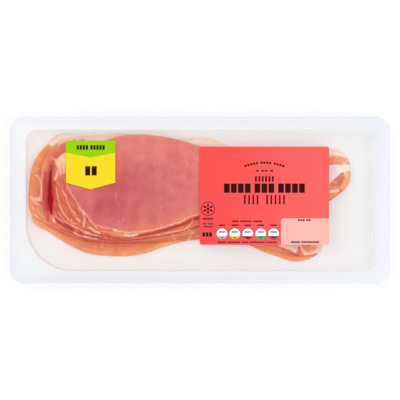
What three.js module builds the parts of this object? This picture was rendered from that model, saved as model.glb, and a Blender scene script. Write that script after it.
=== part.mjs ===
import * as THREE from 'three';

// A sealed pack of five back bacon rashers: a clear formed tray with the rashers lying in it, a clear
// lid film over its flange, and a printed label and a pointed sticker on the film.
// Millimetres. The pack lies flat with its lid up. The origin is the middle of the flange's rectangle,
// on the surface that the pack lies on. +X runs along the pack, +Y across it and +Z up.

// Flange of the tray
const PACK_LENGTH = 270;
const PACK_WIDTH = 118.5;
const PACK_CORNER = 9.5;
const FLANGE_TOP = 15.5;
const RIM_CURL = 2.4;
const RIM_DROP = 0.5;

// Hollow of the tray: three like corners, and a wide one at the front left that leaves room to peel
const MOUTH_LENGTH = 247;
const MOUTH_WIDTH = 99.8;
const MOUTH_CENTRE_Y = -0.4;
const MOUTH_CORNER = 8.5;
const PEEL_CORNER = 33;
const WALL_LEAN = 0.8;
const FLOOR_FILLET = 2;
const MOUTH_FILLET = 0.7;
const SHEET = 0.5;

// Lid film
const FILM = 0.2;
const FILM_GAP = 0.3;
const FILM_CROWN = 0.5;

// Label and sticker on the film
const LABEL_LENGTH = 92;
const LABEL_WIDTH = 69.8;
const LABEL_CORNER = 1.6;
const LABEL_CENTRE = [45.7, 3.1];
const STICKER_LENGTH = 35;
const STICKER_SIDE = 29.9;
const STICKER_POINT = 4.7;
const STICKER_CENTRE = [-77.6, 24.9];
const PAPER = 0.2;
const PAPER_GAP = 0.3;

// Rashers
const RASHER = 2.5;
const RASHER_GAP = 0.4;
const RASHER_EDGE = 1.9;
const END_CURL = 3;
const END_CURL_FROM = -107;
const END_CURL_TO = -121;

// How a rasher drapes over the ones beneath it: the heights are kept on a square grid, and each rests
// on the highest point within its reach, softened
const DRAPE_CELL = 2.5;
const DRAPE_REACH = 7.5;
const DRAPE_SOFTEN = 5;

// Steps that the round and curved stretches are made with
const CORNER_STEPS = 6;
const PEEL_STEPS = 12;
const FILLET_STEPS = 3;
const PAPER_STEPS = 4;
const RASHER_STEPS = 30;
const RASHER_ROWS = 11;
const EDGE_SAMPLES = 240;

// Each rasher from the bottom of the stack to the top. The front edge runs from the left tip to the
// right tip, with the lean eye at the left and the streaky tail at the right; the back edge, which
// carries the rim of fat, runs back from the right.
const RASHERS = [
  {
    front: [
      [-119.8, -12], [-117, -18], [-109, -22.2], [-99.4, -28.6], [-88.8, -34.5], [-80.2, -37.9],
      [-67.5, -39.7], [-52.5, -40.1], [-39.8, -38.2], [-28.4, -34.2], [-18.5, -31.4], [-8, -29.1],
      [7, -28.2], [23, -29.6], [35.5, -32.6], [44, -36.5], [55.4, -40.5], [67.5, -43.9], [80, -41.1],
      [87, -35],
    ],
    back: [
      [80, -26], [57, -17], [28, -3], [0, 14], [-35, 26], [-71, 27], [-99, 16], [-114, 0],
    ],
  },
  {
    front: [
      [-122, 8], [-120.8, -8.4], [-112, -15.6], [-99.4, -22.4], [-81.7, -28.4], [-56.8, -30],
      [-28.4, -29.4], [-4, -27], [21, -28], [48, -34.4], [70, -39.4], [82, -38.4], [87.6, -32],
    ],
    back: [
      [83, -18], [64, -4], [36, 11], [7, 28], [-21, 39.6], [-50, 47.3], [-68, 48.2], [-85, 47.6],
      [-101, 46.5], [-110.7, 38], [-119, 25.2],
    ],
  },
  {
    front: [
      [-113.6, 10], [-110.6, -9], [-100.8, -18.6], [-85.2, -26.4], [-63.9, -29.2], [-35.5, -28.8],
      [-10.7, -25.2], [12, -21.6], [36, -22], [62, -21], [80, -16], [86.6, -7],
    ],
    back: [
      [81, 8], [57, 21], [33, 32], [17.5, 40.2], [6.5, 44], [-4.5, 44.4], [-18, 43.4], [-36, 45], [-64, 46],
      [-89, 44.4], [-102, 39.6], [-110.8, 29],
    ],
  },
  {
    front: [
      [-107.2, 4], [-106, -6], [-101.5, -13], [-88.8, -24.2], [-72.4, -28.6], [-49.7, -28.2],
      [-28.4, -25.6], [-9.2, -20.9], [11, -14.2], [42, -10], [75, -6], [92, -1], [100, 8],
    ],
    back: [
      [101, 22], [93, 31], [70, 32], [36, 35], [-1, 36.8], [-28, 42.4], [-57, 43.8], [-82, 38.6],
      [-99.4, 29.4],
    ],
  },
  {
    front: [
      [-106, 12], [-105, -1], [-101, -9.6], [-90.5, -20.6], [-76.7, -26.4], [-56.8, -27],
      [-35.5, -23.4], [-15.6, -18.4], [3.6, -11], [35.5, -5.4], [71, -2.4], [92.3, 0.2], [100.8, 5.5],
      [105.8, 11.2], [107.6, 19],
    ],
    back: [
      [106.1, 28.2], [101.5, 34.3], [92, 36.2], [57, 34.4], [21, 34.4], [-0.7, 38.6], [-14.2, 42.6],
      [-28.4, 45.4], [-44, 46.7], [-57, 45.4], [-70, 41.4], [-88.8, 36.8], [-101.6, 29],
    ],
  },
];

const FILM_UNDERSIDE = FLANGE_TOP + FILM_GAP;
const LOWEST_REST = SHEET + RASHER_GAP;

// Smooth step from 0 at start to 1 at end.
function ease(start, end, value) {
  const t = THREE.MathUtils.clamp((value - start) / (end - start), 0, 1);
  return t * t * (3 - 2 * t);
}

// Rectangle with round corners, anticlockwise from its front left corner. Each corner is
// [radius, steps], in the order front left, front right, back right, back left.
function roundedLoop(length, width, centre, corners, z) {
  const signs = [[-1, -1], [1, -1], [1, 1], [-1, 1]];
  const loop = [];
  signs.forEach(([sx, sy], corner) => {
    const [radius, steps] = corners[corner];
    const cx = centre[0] + sx * (length / 2 - radius);
    const cy = centre[1] + sy * (width / 2 - radius);
    for (let step = 0; step <= steps; step += 1) {
      const angle = (Math.PI / 2) * (corner + 2 + step / steps);
      loop.push(new THREE.Vector3(cx + radius * Math.cos(angle), cy + radius * Math.sin(angle), z));
    }
  });
  return loop;
}

// The flange's outline, drawn in by inset.
function flangeLoop(inset, z) {
  const round = PACK_CORNER - inset;
  const corners = [PEEL_STEPS, CORNER_STEPS, CORNER_STEPS, CORNER_STEPS].map((steps) => [round, steps]);
  return roundedLoop(PACK_LENGTH - 2 * inset, PACK_WIDTH - 2 * inset, [0, 0], corners, z);
}

// The hollow's outline, drawn in by inset; a negative inset lies outside the mouth.
function mouthLoop(inset, z) {
  const plain = [MOUTH_CORNER - inset, CORNER_STEPS];
  const corners = [[PEEL_CORNER - inset, PEEL_STEPS], plain, plain, plain];
  const centre = [0, MOUTH_CENTRE_Y];
  return roundedLoop(MOUTH_LENGTH - 2 * inset, MOUTH_WIDTH - 2 * inset, centre, corners, z);
}

function meshGeometry(points, faces) {
  const geometry = new THREE.BufferGeometry();
  geometry.setAttribute('position', new THREE.Float32BufferAttribute(points.flatMap((p) => p.toArray()), 3));
  geometry.setIndex(faces.flat());
  geometry.computeVertexNormals();
  return geometry;
}

// A closed body through loops of equal count: from a point under the middle, out along the underside
// and back in along the top to a point over the middle.
function loftedBody(lowPole, loops, highPole) {
  const count = loops[0].length;
  const points = [lowPole, ...loops.flat(), highPole];
  const last = points.length - 1;
  const at = (ring, i) => 1 + ring * count + (i % count);
  const faces = [];
  for (let i = 0; i < count; i += 1) {
    faces.push([0, at(0, i + 1), at(0, i)]);
    for (let ring = 0; ring < loops.length - 1; ring += 1) {
      faces.push([at(ring, i), at(ring + 1, i + 1), at(ring + 1, i)]);
      faces.push([at(ring, i), at(ring, i + 1), at(ring + 1, i + 1)]);
    }
    faces.push([at(loops.length - 1, i), at(loops.length - 1, i + 1), last]);
  }
  return meshGeometry(points, faces);
}

// Loops of a quarter-round fillet between an upright wall and a level face.
function filletLoops(radius, wallInset, levelZ, side) {
  const loops = [];
  for (let step = 0; step <= FILLET_STEPS; step += 1) {
    const angle = (Math.PI / 2) * (step / FILLET_STEPS);
    const inset = wallInset + side * radius * (1 - Math.sin(angle));
    loops.push(mouthLoop(inset, levelZ + side * radius * (1 - Math.cos(angle))));
  }
  return loops;
}

// The tray: one sheet from the middle of its floor out to the flange's rim and back.
function trayGeometry() {
  const outerFloorFillet = FLOOR_FILLET + SHEET;
  const floorOutside = filletLoops(outerFloorFillet, WALL_LEAN - SHEET, 0, 1);
  const floorInside = filletLoops(FLOOR_FILLET, WALL_LEAN, SHEET, 1).reverse();
  const mouthTop = filletLoops(MOUTH_FILLET, 0, FLANGE_TOP, -1);
  const underside = FLANGE_TOP - SHEET;
  const loops = [
    ...floorOutside,
    mouthLoop(-SHEET, underside),
    flangeLoop(RIM_CURL, underside),
    flangeLoop(SHEET, underside - RIM_DROP),
    flangeLoop(0, underside - RIM_DROP),
    flangeLoop(0, underside),
    flangeLoop(RIM_CURL, FLANGE_TOP),
    ...mouthTop,
    ...floorInside,
  ];
  const middle = (z) => new THREE.Vector3(0, MOUTH_CENTRE_Y, z);
  return loftedBody(middle(0), loops, middle(SHEET));
}

// Height of the film's underside: level on the flange and slightly full over the hollow.
function filmHeight(x, y) {
  const across = 1 - (2 * x / MOUTH_LENGTH) ** 2;
  const along = 1 - (2 * (y - MOUTH_CENTRE_Y) / MOUTH_WIDTH) ** 2;
  return FILM_UNDERSIDE + FILM_CROWN * Math.max(across, 0) * Math.max(along, 0);
}

// A thin sheet of even thickness that follows the film. Its loops run from the middle to the edge.
function sheetGeometry(loops, centre, lift, thickness) {
  const place = (p, extra) => new THREE.Vector3(p.x, p.y, filmHeight(p.x, p.y) + lift + extra);
  const under = loops.map((loop) => loop.map((p) => place(p, 0)));
  const over = loops.map((loop) => loop.map((p) => place(p, thickness))).reverse();
  const middle = new THREE.Vector3(centre[0], centre[1], 0);
  return loftedBody(place(middle, 0), [...under, ...over], place(middle, thickness));
}

function filmGeometry() {
  const insets = [44, 37, 30, 23, 16, 9, 3, 0];
  const round = (inset) => Math.max(MOUTH_CORNER - inset, 2);
  const loops = insets.map((inset) => {
    const plain = [round(inset), CORNER_STEPS];
    const corners = [[Math.max(PEEL_CORNER - inset, 2), PEEL_STEPS], plain, plain, plain];
    const centre = [0, MOUTH_CENTRE_Y];
    return roundedLoop(MOUTH_LENGTH - 2 * inset, MOUTH_WIDTH - 2 * inset, centre, corners, 0);
  });
  loops.push(flangeLoop(RIM_CURL, 0));
  return sheetGeometry(loops, [0, MOUTH_CENTRE_Y], 0, FILM);
}

function labelGeometry() {
  const loops = [];
  for (let step = 1; step <= PAPER_STEPS; step += 1) {
    const share = step / PAPER_STEPS;
    const corner = [LABEL_CORNER * share, CORNER_STEPS];
    const size = [LABEL_LENGTH * share, LABEL_WIDTH * share];
    loops.push(roundedLoop(size[0], size[1], LABEL_CENTRE, [corner, corner, corner, corner], 0));
  }
  return sheetGeometry(loops, LABEL_CENTRE, FILM + PAPER_GAP, PAPER);
}

// The sticker: square at the back and drawn to a blunt point at the front.
function stickerGeometry() {
  const half = STICKER_LENGTH / 2;
  const back = (STICKER_SIDE + STICKER_POINT) / 2;
  const shoulder = back - STICKER_SIDE;
  const outline = [
    [-half, shoulder], [-half / 2, (shoulder - back) / 2], [0, -back], [half / 2, (shoulder - back) / 2],
    [half, shoulder], [half, (shoulder + back) / 2], [half, back], [0, back], [-half, back],
    [-half, (shoulder + back) / 2],
  ];
  const loops = [];
  for (let step = 1; step <= PAPER_STEPS; step += 1) {
    const share = step / PAPER_STEPS;
    const spot = ([x, y]) => new THREE.Vector3(STICKER_CENTRE[0] + x * share, STICKER_CENTRE[1] + y * share, 0);
    loops.push(outline.map(spot));
  }
  return sheetGeometry(loops, STICKER_CENTRE, FILM + PAPER_GAP, PAPER);
}

// A rasher's two edges as rows of points that pair up from its left tip to its right tip.
function edgeRows({ front, back }) {
  const loop = [...front, ...back].map(([x, y]) => new THREE.Vector3(x, y, 0));
  const curve = new THREE.CatmullRomCurve3(loop, true, 'centripetal');
  const rightTip = (front.length - 1) / loop.length;
  const row = (from, to) => {
    const samples = [];
    for (let i = 0; i <= EDGE_SAMPLES; i += 1) {
      samples.push(curve.getPoint(THREE.MathUtils.lerp(from, to, i / EDGE_SAMPLES)));
    }
    return spread(samples);
  };
  return { near: row(0, rightTip), far: row(1, rightTip) };
}

// Points along a sampled edge, closer together towards its two tips.
function spread(samples) {
  const lengths = [0];
  for (let i = 1; i < samples.length; i += 1) {
    lengths.push(lengths[i - 1] + samples[i].distanceTo(samples[i - 1]));
  }
  const total = lengths[lengths.length - 1];
  const points = [];
  let k = 1;
  for (let i = 0; i <= RASHER_STEPS; i += 1) {
    const u = i / RASHER_STEPS;
    const wanted = total * (u + (1 - Math.cos(Math.PI * u)) / 2) / 2;
    while (k < samples.length - 1 && lengths[k] < wanted) {
      k += 1;
    }
    const share = THREE.MathUtils.clamp((wanted - lengths[k - 1]) / (lengths[k] - lengths[k - 1]), 0, 1);
    points.push(samples[k - 1].clone().lerp(samples[k], share));
  }
  return points;
}

// Heights over the tray's floor on a square grid, in cells of DRAPE_CELL.
const GRID_X = Math.ceil(MOUTH_LENGTH / DRAPE_CELL) + 5;
const GRID_Y = Math.ceil(MOUTH_WIDTH / DRAPE_CELL) + 5;
const GRID_LEFT = -DRAPE_CELL * (GRID_X - 1) / 2;
const GRID_FRONT = MOUTH_CENTRE_Y - DRAPE_CELL * (GRID_Y - 1) / 2;

function newField(heightAt) {
  const field = new Float64Array(GRID_X * GRID_Y);
  for (let j = 0; j < GRID_Y; j += 1) {
    for (let i = 0; i < GRID_X; i += 1) {
      field[j * GRID_X + i] = heightAt(GRID_LEFT + i * DRAPE_CELL, GRID_FRONT + j * DRAPE_CELL, i, j);
    }
  }
  return field;
}

function cellHeight(field, i, j) {
  const column = THREE.MathUtils.clamp(i, 0, GRID_X - 1);
  const row = THREE.MathUtils.clamp(j, 0, GRID_Y - 1);
  return field[row * GRID_X + column];
}

function heightOn(field, x, y) {
  const gx = (x - GRID_LEFT) / DRAPE_CELL;
  const gy = (y - GRID_FRONT) / DRAPE_CELL;
  const i = Math.floor(gx);
  const j = Math.floor(gy);
  const low = THREE.MathUtils.lerp(cellHeight(field, i, j), cellHeight(field, i + 1, j), gx - i);
  const high = THREE.MathUtils.lerp(cellHeight(field, i, j + 1), cellHeight(field, i + 1, j + 1), gx - i);
  return THREE.MathUtils.lerp(low, high, gy - j);
}

// Visits the cells within a round reach of a cell.
function nearbyCells(reach, visit) {
  const span = Math.ceil(reach / DRAPE_CELL);
  for (let dj = -span; dj <= span; dj += 1) {
    for (let di = -span; di <= span; di += 1) {
      if (Math.hypot(di, dj) * DRAPE_CELL <= reach) {
        visit(di, dj);
      }
    }
  }
}

// The surface that a limp sheet takes over a stack: the highest point within its reach, then softened.
function drapedOver(stack) {
  const spanned = newField((x, y, i, j) => {
    let highest = 0;
    nearbyCells(DRAPE_REACH, (di, dj) => {
      highest = Math.max(highest, cellHeight(stack, i + di, j + dj));
    });
    return highest;
  });
  return newField((x, y, i, j) => {
    let sum = 0;
    let count = 0;
    nearbyCells(DRAPE_SOFTEN, (di, dj) => {
      sum += cellHeight(spanned, i + di, j + dj);
      count += 1;
    });
    return sum / count;
  });
}

function isInside(outline, x, y) {
  let inside = false;
  for (let i = 0, j = outline.length - 1; i < outline.length; j = i, i += 1) {
    const a = outline[i];
    const b = outline[j];
    if ((a.y > y) !== (b.y > y) && x < ((b.x - a.x) * (y - a.y)) / (b.y - a.y) + a.x) {
      inside = !inside;
    }
  }
  return inside;
}

function distanceToOutline(outline, point) {
  const line = new THREE.Line3();
  const closest = new THREE.Vector3();
  let nearest = Infinity;
  for (let i = 0; i < outline.length; i += 1) {
    line.set(outline[i], outline[(i + 1) % outline.length]);
    line.closestPointToPoint(point, true, closest);
    nearest = Math.min(nearest, closest.distanceTo(point));
  }
  return nearest;
}

// Share of the way across a rasher at a row: the first and last rows lie a rounded edge's width in.
function rowShare(j, width) {
  const edge = Math.min(RASHER_EDGE / Math.max(width, 0.01), 1 / RASHER_ROWS);
  if (j === 0 || j === RASHER_ROWS) {
    return j / RASHER_ROWS;
  }
  return THREE.MathUtils.lerp(edge, 1 - edge, (j - 1) / (RASHER_ROWS - 2));
}

// How far the stack curls up where its left end is pressed against the wall.
function endCurl(x) {
  return END_CURL * ease(END_CURL_FROM, END_CURL_TO, x);
}

// A slab of even thickness with a rounded edge, lying on the given field.
function rasherGeometry({ near, far }, field) {
  const outline = [...near, ...far.slice(1, -1).reverse()];
  const points = [];
  const faces = [];
  const upper = [];
  const lower = [];
  for (let i = 0; i <= RASHER_STEPS; i += 1) {
    const isTip = i === 0 || i === RASHER_STEPS;
    const width = near[i].distanceTo(far[i]);
    const upperRow = [];
    const lowerRow = [];
    for (let j = 0; j <= RASHER_ROWS; j += 1) {
      const isRim = isTip || j === 0 || j === RASHER_ROWS;
      if (isTip && j > 0) {
        upperRow.push(upperRow[0]);
        lowerRow.push(lowerRow[0]);
        continue;
      }
      const spot = near[i].clone().lerp(far[i], isTip ? 0 : rowShare(j, width));
      const middle = heightOn(field, spot.x, spot.y) + endCurl(spot.x) + RASHER / 2;
      const depth = isRim ? 0 : Math.min(distanceToOutline(outline, spot) / RASHER_EDGE, 1);
      const half = (RASHER / 2) * Math.sqrt(1 - (1 - depth) ** 2);
      points.push(new THREE.Vector3(spot.x, spot.y, middle + half));
      upperRow.push(points.length - 1);
      if (!isRim) {
        points.push(new THREE.Vector3(spot.x, spot.y, middle - half));
      }
      lowerRow.push(points.length - 1);
    }
    upper.push(upperRow);
    lower.push(lowerRow);
  }
  const addFace = (a, b, c) => {
    if (a !== b && b !== c && c !== a) {
      faces.push([a, b, c]);
    }
  };
  for (let i = 0; i < RASHER_STEPS; i += 1) {
    for (let j = 0; j < RASHER_ROWS; j += 1) {
      addFace(upper[i][j], upper[i + 1][j], upper[i + 1][j + 1]);
      addFace(upper[i][j], upper[i + 1][j + 1], upper[i][j + 1]);
      addFace(lower[i][j], lower[i + 1][j + 1], lower[i + 1][j]);
      addFace(lower[i][j], lower[i][j + 1], lower[i + 1][j + 1]);
    }
  }
  return meshGeometry(points, faces);
}

function piece(name, geometry, color, roughness) {
  const material = new THREE.MeshStandardMaterial({ color, roughness, metalness: 0 });
  const mesh = new THREE.Mesh(geometry, material);
  mesh.name = name;
  return mesh;
}

const group = new THREE.Group();
group.name = 'bacon_pack';
group.add(piece('tray', trayGeometry(), 0xeef0f4, 0.12));

let stack = newField(() => LOWEST_REST);
RASHERS.forEach((shape, level) => {
  const rows = edgeRows(shape);
  const outline = [...rows.near, ...rows.far.slice(1, -1).reverse()];
  const rest = drapedOver(stack);
  const below = stack;
  group.add(piece(`rasher_${level + 1}`, rasherGeometry(rows, rest), 0xd8766a, 0.3));
  stack = newField((x, y, i, j) => {
    const top = cellHeight(rest, i, j) + RASHER + RASHER_GAP;
    return isInside(outline, x, y) ? top : cellHeight(below, i, j);
  });
});

group.add(piece('lid_film', filmGeometry(), 0xf4f5f7, 0.08));
group.add(piece('label', labelGeometry(), 0xff5a58, 0.5));
group.add(piece('pointed_sticker', stickerGeometry(), 0xfedf2e, 0.5));

export default group;
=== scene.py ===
"""A sealed pack of five back bacon rashers: its clear tray, the rashers, the lid film, label and sticker.

The sizes are in millimetres until a mesh is made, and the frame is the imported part's own: the middle of
the flange's rectangle on the surface that the pack lies on, +X along the pack and +Z up.
"""
import math

import bpy
import numpy as np
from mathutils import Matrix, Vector


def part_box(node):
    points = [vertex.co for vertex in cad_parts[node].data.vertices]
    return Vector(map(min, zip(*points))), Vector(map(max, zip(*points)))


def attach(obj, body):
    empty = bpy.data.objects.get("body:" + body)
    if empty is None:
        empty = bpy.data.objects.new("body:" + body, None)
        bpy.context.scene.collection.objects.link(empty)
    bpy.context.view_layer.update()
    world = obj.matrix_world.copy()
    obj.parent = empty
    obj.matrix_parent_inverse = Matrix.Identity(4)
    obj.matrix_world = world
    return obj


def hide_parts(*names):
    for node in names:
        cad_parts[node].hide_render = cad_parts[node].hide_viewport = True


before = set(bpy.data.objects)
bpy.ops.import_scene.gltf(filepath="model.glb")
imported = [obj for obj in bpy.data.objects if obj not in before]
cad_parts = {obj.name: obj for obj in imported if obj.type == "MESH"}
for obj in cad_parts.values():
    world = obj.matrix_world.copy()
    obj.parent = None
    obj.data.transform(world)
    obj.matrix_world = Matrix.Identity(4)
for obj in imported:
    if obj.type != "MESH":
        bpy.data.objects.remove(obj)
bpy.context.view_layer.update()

bl_info = {
    "name": "Bacon pack",
    "version": (1, 0, 0),
    "blender": (4, 5, 0),
    "location": "3D View > Sidebar > Bacon pack",
    "description": "Clear sealed tray of back bacon rashers with a plain label and sticker",
    "category": "Add Mesh",
}

MM = 0.001
BODY = "root"
TRAY_LOW, TRAY_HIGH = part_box("tray")
FILM_LOW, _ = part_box("lid_film")
LABEL_LOW, LABEL_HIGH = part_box("label")
STICKER_LOW, STICKER_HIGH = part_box("pointed_sticker")

# Flange and hollow of the tray
PACK_LENGTH = (TRAY_HIGH.x - TRAY_LOW.x) / MM
PACK_WIDTH = (TRAY_HIGH.y - TRAY_LOW.y) / MM
FLANGE_TOP = (TRAY_HIGH.z - TRAY_LOW.z) / MM
PACK_CORNER = 9.5
RIM_CURL = 2.4
RIM_DROP = 0.5
MOUTH_LENGTH = 247
MOUTH_WIDTH = 99.8
MOUTH_CENTRE_Y = -0.4
MOUTH_CORNER = 8.5
PEEL_CORNER = 33
TIGHTEST_CORNER = 0.5
SHARP_FROM = math.radians(40)
WALL_LEAN = 0.8
FLOOR_FILLET = 2
MOUTH_FILLET = 0.7
FLANGE_FROM = FLANGE_TOP - 2
FLOOR_STEP = 4
FLANGE_STEPS = 6
CORNER_STEPS = 14
PEEL_STEPS = 30
FILLET_STEPS = 8
LONG_SIDE_STEPS = 44
SHORT_SIDE_STEPS = 20

# How the clear sheet is tinted: a painted reflection of the meat's pink near the meat and in the wall, and
# greyer by the rim and, as painted shade, to the right
MEAT_REFLECTION = 0.45
MEAT_REFLECTION_REACH = 5
MEAT_REFLECTION_FADES = (-20, 110)
WALL_TINT = 0.5
WALL_TINT_SLOPES = (-0.003, -0.004)
RIM_SHADE_REACH = 9
END_SHADE = 0.6
END_SHADE_GROWS = (20, 135)

# Film, label and sticker
FILM_CROWN = 0.5
FILM_SEAL = 0.03
FILM_RISE = 10
FILM_INSETS = np.arange(48, -0.1, -2)
FILM_RIM_INSETS = (RIM_CURL, 1.2, 0.4)
LABEL_CORNER = 1.6
LABEL_RINGS = 16
LABEL_CENTRE = ((LABEL_LOW.x + LABEL_HIGH.x) / 2 / MM, (LABEL_LOW.y + LABEL_HIGH.y) / 2 / MM)
LABEL_SIZE = ((LABEL_HIGH.x - LABEL_LOW.x) / MM, (LABEL_HIGH.y - LABEL_LOW.y) / MM)
STICKER_CENTRE = ((STICKER_LOW.x + STICKER_HIGH.x) / 2 / MM, (STICKER_LOW.y + STICKER_HIGH.y) / 2 / MM)
STICKER_SIZE = ((STICKER_HIGH.x - STICKER_LOW.x) / MM, (STICKER_HIGH.y - STICKER_LOW.y) / MM)
STICKER_POINT = 4.7
STICKER_STEPS = 8
STICKER_RINGS = 10
GREEN_BAND_LOW = 8.7
GREEN_BAND_POINT = 0.76 * STICKER_POINT
PAPER_LIFT = 0.02

# Print, from the middle of the label
PRINT_CELL = 2.4
DATE_BOX = (34.2, 18.8)
DATE_BOX_X = LABEL_SIZE[0] / 2 - DATE_BOX[0] / 2
DATE_BOX_Y = DATE_BOX[1] / 2 - LABEL_SIZE[1] / 2
ROUND_MARK = (-40.0, -9.3)
ROUND_MARK_RING = (5.0, 0.45)
ROUND_MARK_CORE = 0.9
PETALS = 6
PETAL = (1.4, 3.6, 1.3)
PETAL_STEPS = 7
DISC_STEPS = 17
DISC_RADIUS = 4.1
DISC_TIP = 0.995
DISC_RING = (DISC_RADIUS + 0.12, 0.3)
DISC_Y = -27.1
DISCS_X = (-30.1, -21.0, -11.8, -2.6, 6.6)
DISC_INKS = ("grey", "amber", "crimson", "green", "crimson")
# The tinted part of a disc: its radius, and how far up it reaches as a share of that
DISC_TINT = (0.93 * DISC_RADIUS, -0.4)
# Bars over and in each disc: height on the label, length and thickness
DISC_BARS = ((-21.0, 4.6, 0.9), (DISC_Y + 1.3, 4.4, 0.8), (DISC_Y - 2.8, 2.0, 0.6))
# Rows of plain blocks: middle, blocks in each group, a block's width, gap and height, and the row's arch
LABEL_ROWS = (
    (0, 23.4, (5, 4, 4), 1.5, 0.55, 1.5, 2.6),
    (0, 17.6, (1, 2, 1), 2.0, 0.6, 1.0),
    (0, 11.8, (6,), 1.3, 1.1, 3.8),
    (0, 5.3, (4, 3, 4), 4.0, 0.95, 6.6),
    (0, -2.9, (4, 5), 1.1, 1.9, 6.6),
    (ROUND_MARK[0], -16.4, (5,), 1.1, 0.4, 1.3),
    (ROUND_MARK[0], -20.0, (2, 3), 0.9, 0.4, 1.0),
    (ROUND_MARK[0], -22.0, (5,), 0.9, 0.4, 1.0),
    (ROUND_MARK[0] - 0.6, -27.6, (3,), 1.9, 0.5, 3.0),
    (-12.2, -18.2, (3, 5, 4), 1.2, 0.45, 1.2),
    (-12.2, -33.1, (4, 6, 3, 7, 5), 1.1, 0.45, 1.1),
    (DATE_BOX_X - 0.6, -17.4, (3, 2), 1.3, 0.4, 1.3),
    (DATE_BOX_X, -33.0, (4, 8), 1.2, 0.4, 1.3),
)
STICKER_ROWS = (
    (0, 12.4, (4, 5), 1.6, 0.55, 3.2),
    (0.2, -4.2, (2,), 3.6, 1.0, 6.6),
)

# Rashers, and how they drape over the ones beneath. TOUCH closes the gap that the solids keep.
RASHER = 2.5
RASHER_GAP = 0.4
RASHER_EDGE = 1.9
TOUCH = 0.3
LOWEST_REST = 0.9
END_CURL = 3
END_CURL_FROM = -107
END_CURL_TO = -121
DRAPE_CELL = 1.25
DRAPE_REACH = 7.5
DRAPE_SOFTEN = 5
RASHER_STEPS = 330
RASHER_ROWS = 112
EDGE_INSETS = (0.0, 0.08, 0.28, 0.6, 1.0)
OUTLINE_STEPS = 24
OUTLINE_THIN = 3
GRID_X = np.arange(-132, 132.1, DRAPE_CELL)
GRID_Y = np.arange(-57, 57.1, DRAPE_CELL)
FAT_RELIEF = 0.16
CREASE_RELIEF = 0.5

# Meat: from one fibre bundle or strand by the eye to the next, and the width of the tail's stripes
BUNDLE = 2.4
STRAND = 2.9
STRIPE = 4.6
# Where along a rasher, from its left tip, the back fat's width is given, and the first two widths
RIM_PLACES = (0, 0.115, 0.15, 0.3, 0.5, 0.62)
RIM_AT_TIP = (0.3, 0.4)
# Colours of the meat are mixed in steps that look even: light to the power of 1 in this
SEEN_GAMMA = 2.2
WAVES = 5

# Stage, in metres
TABLE_HALF = 4.0
TABLE_DROP = 0.0002
SIGHT_REACH = 20
KEY_PLACE = (-0.36, 0.34, 1.12)
KEY_SIZE = 0.9
FILL_PLACE = (0.42, -0.24, 1.08)
FILL_SIZE = 0.7
# Light crosses four clear surfaces on its way in and four on its way out, and more at a slant.
CLEAR_CROSSINGS = 24

# The rashers' outlines from the bottom of the stack to the top: the front edge from the left tip to the
# right tip, and the back edge on from there, as in the part's source.
RASHERS = (
    {
        "front": (
            (-119.8, -12), (-117, -18), (-109, -22.2), (-99.4, -28.6), (-88.8, -34.5), (-80.2, -37.9),
            (-67.5, -39.7), (-52.5, -40.1), (-39.8, -38.2), (-28.4, -34.2), (-18.5, -31.4), (-8, -29.1),
            (7, -28.2), (23, -29.6), (35.5, -32.6), (44, -36.5), (55.4, -40.5), (67.5, -43.9),
            (80, -41.1), (87, -35),
        ),
        "back": (
            (80, -26), (57, -17), (28, -3), (0, 14), (-35, 26), (-71, 27), (-99, 16), (-114, 0),
        ),
    },
    {
        "front": (
            (-122, 8), (-120.8, -8.4), (-112, -15.6), (-99.4, -22.4), (-81.7, -28.4), (-56.8, -30),
            (-28.4, -29.4), (-4, -27), (21, -28), (48, -34.4), (70, -39.4), (82, -38.4), (87.6, -32),
        ),
        "back": (
            (83, -18), (64, -4), (36, 11), (7, 28), (-21, 39.6), (-50, 47.3), (-68, 48.2), (-85, 47.6),
            (-101, 46.5), (-110.7, 38), (-119, 25.2),
        ),
    },
    {
        "front": (
            (-113.6, 10), (-110.6, -9), (-100.8, -18.6), (-85.2, -26.4), (-63.9, -29.2), (-35.5, -28.8),
            (-10.7, -25.2), (12, -21.6), (36, -22), (62, -21), (80, -16), (86.6, -7),
        ),
        "back": (
            (81, 8), (57, 21), (33, 32), (17.5, 40.2), (6.5, 44), (-4.5, 44.4), (-18, 43.4), (-36, 45),
            (-64, 46), (-89, 44.4), (-102, 39.6), (-110.8, 29),
        ),
    },
    {
        "front": (
            (-107.2, 4), (-106, -6), (-101.5, -13), (-88.8, -24.2), (-72.4, -28.6), (-49.7, -28.2),
            (-28.4, -25.6), (-9.2, -20.9), (11, -14.2), (42, -10), (75, -6), (92, -1), (100, 8),
        ),
        "back": (
            (101, 22), (93, 31), (70, 32), (36, 35), (-1, 36.8), (-28, 42.4), (-57, 43.8), (-82, 38.6),
            (-99.4, 29.4),
        ),
    },
    {
        "front": (
            (-106, 12), (-105, -1), (-101, -9.6), (-90.5, -20.6), (-76.7, -26.4), (-56.8, -27),
            (-35.5, -23.4), (-15.6, -18.4), (3.6, -11), (35.5, -5.4), (71, -2.4), (92.3, 0.2),
            (100.8, 5.5), (105.8, 11.2), (107.6, 19),
        ),
        "back": (
            (106.1, 28.2), (101.5, 34.3), (92, 36.2), (57, 34.4), (21, 34.4), (-0.7, 38.6),
            (-14.2, 42.6), (-28.4, 45.4), (-44, 46.7), (-57, 45.4), (-70, 41.4), (-88.8, 36.8),
            (-101.6, 29),
        ),
    },
)
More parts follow.
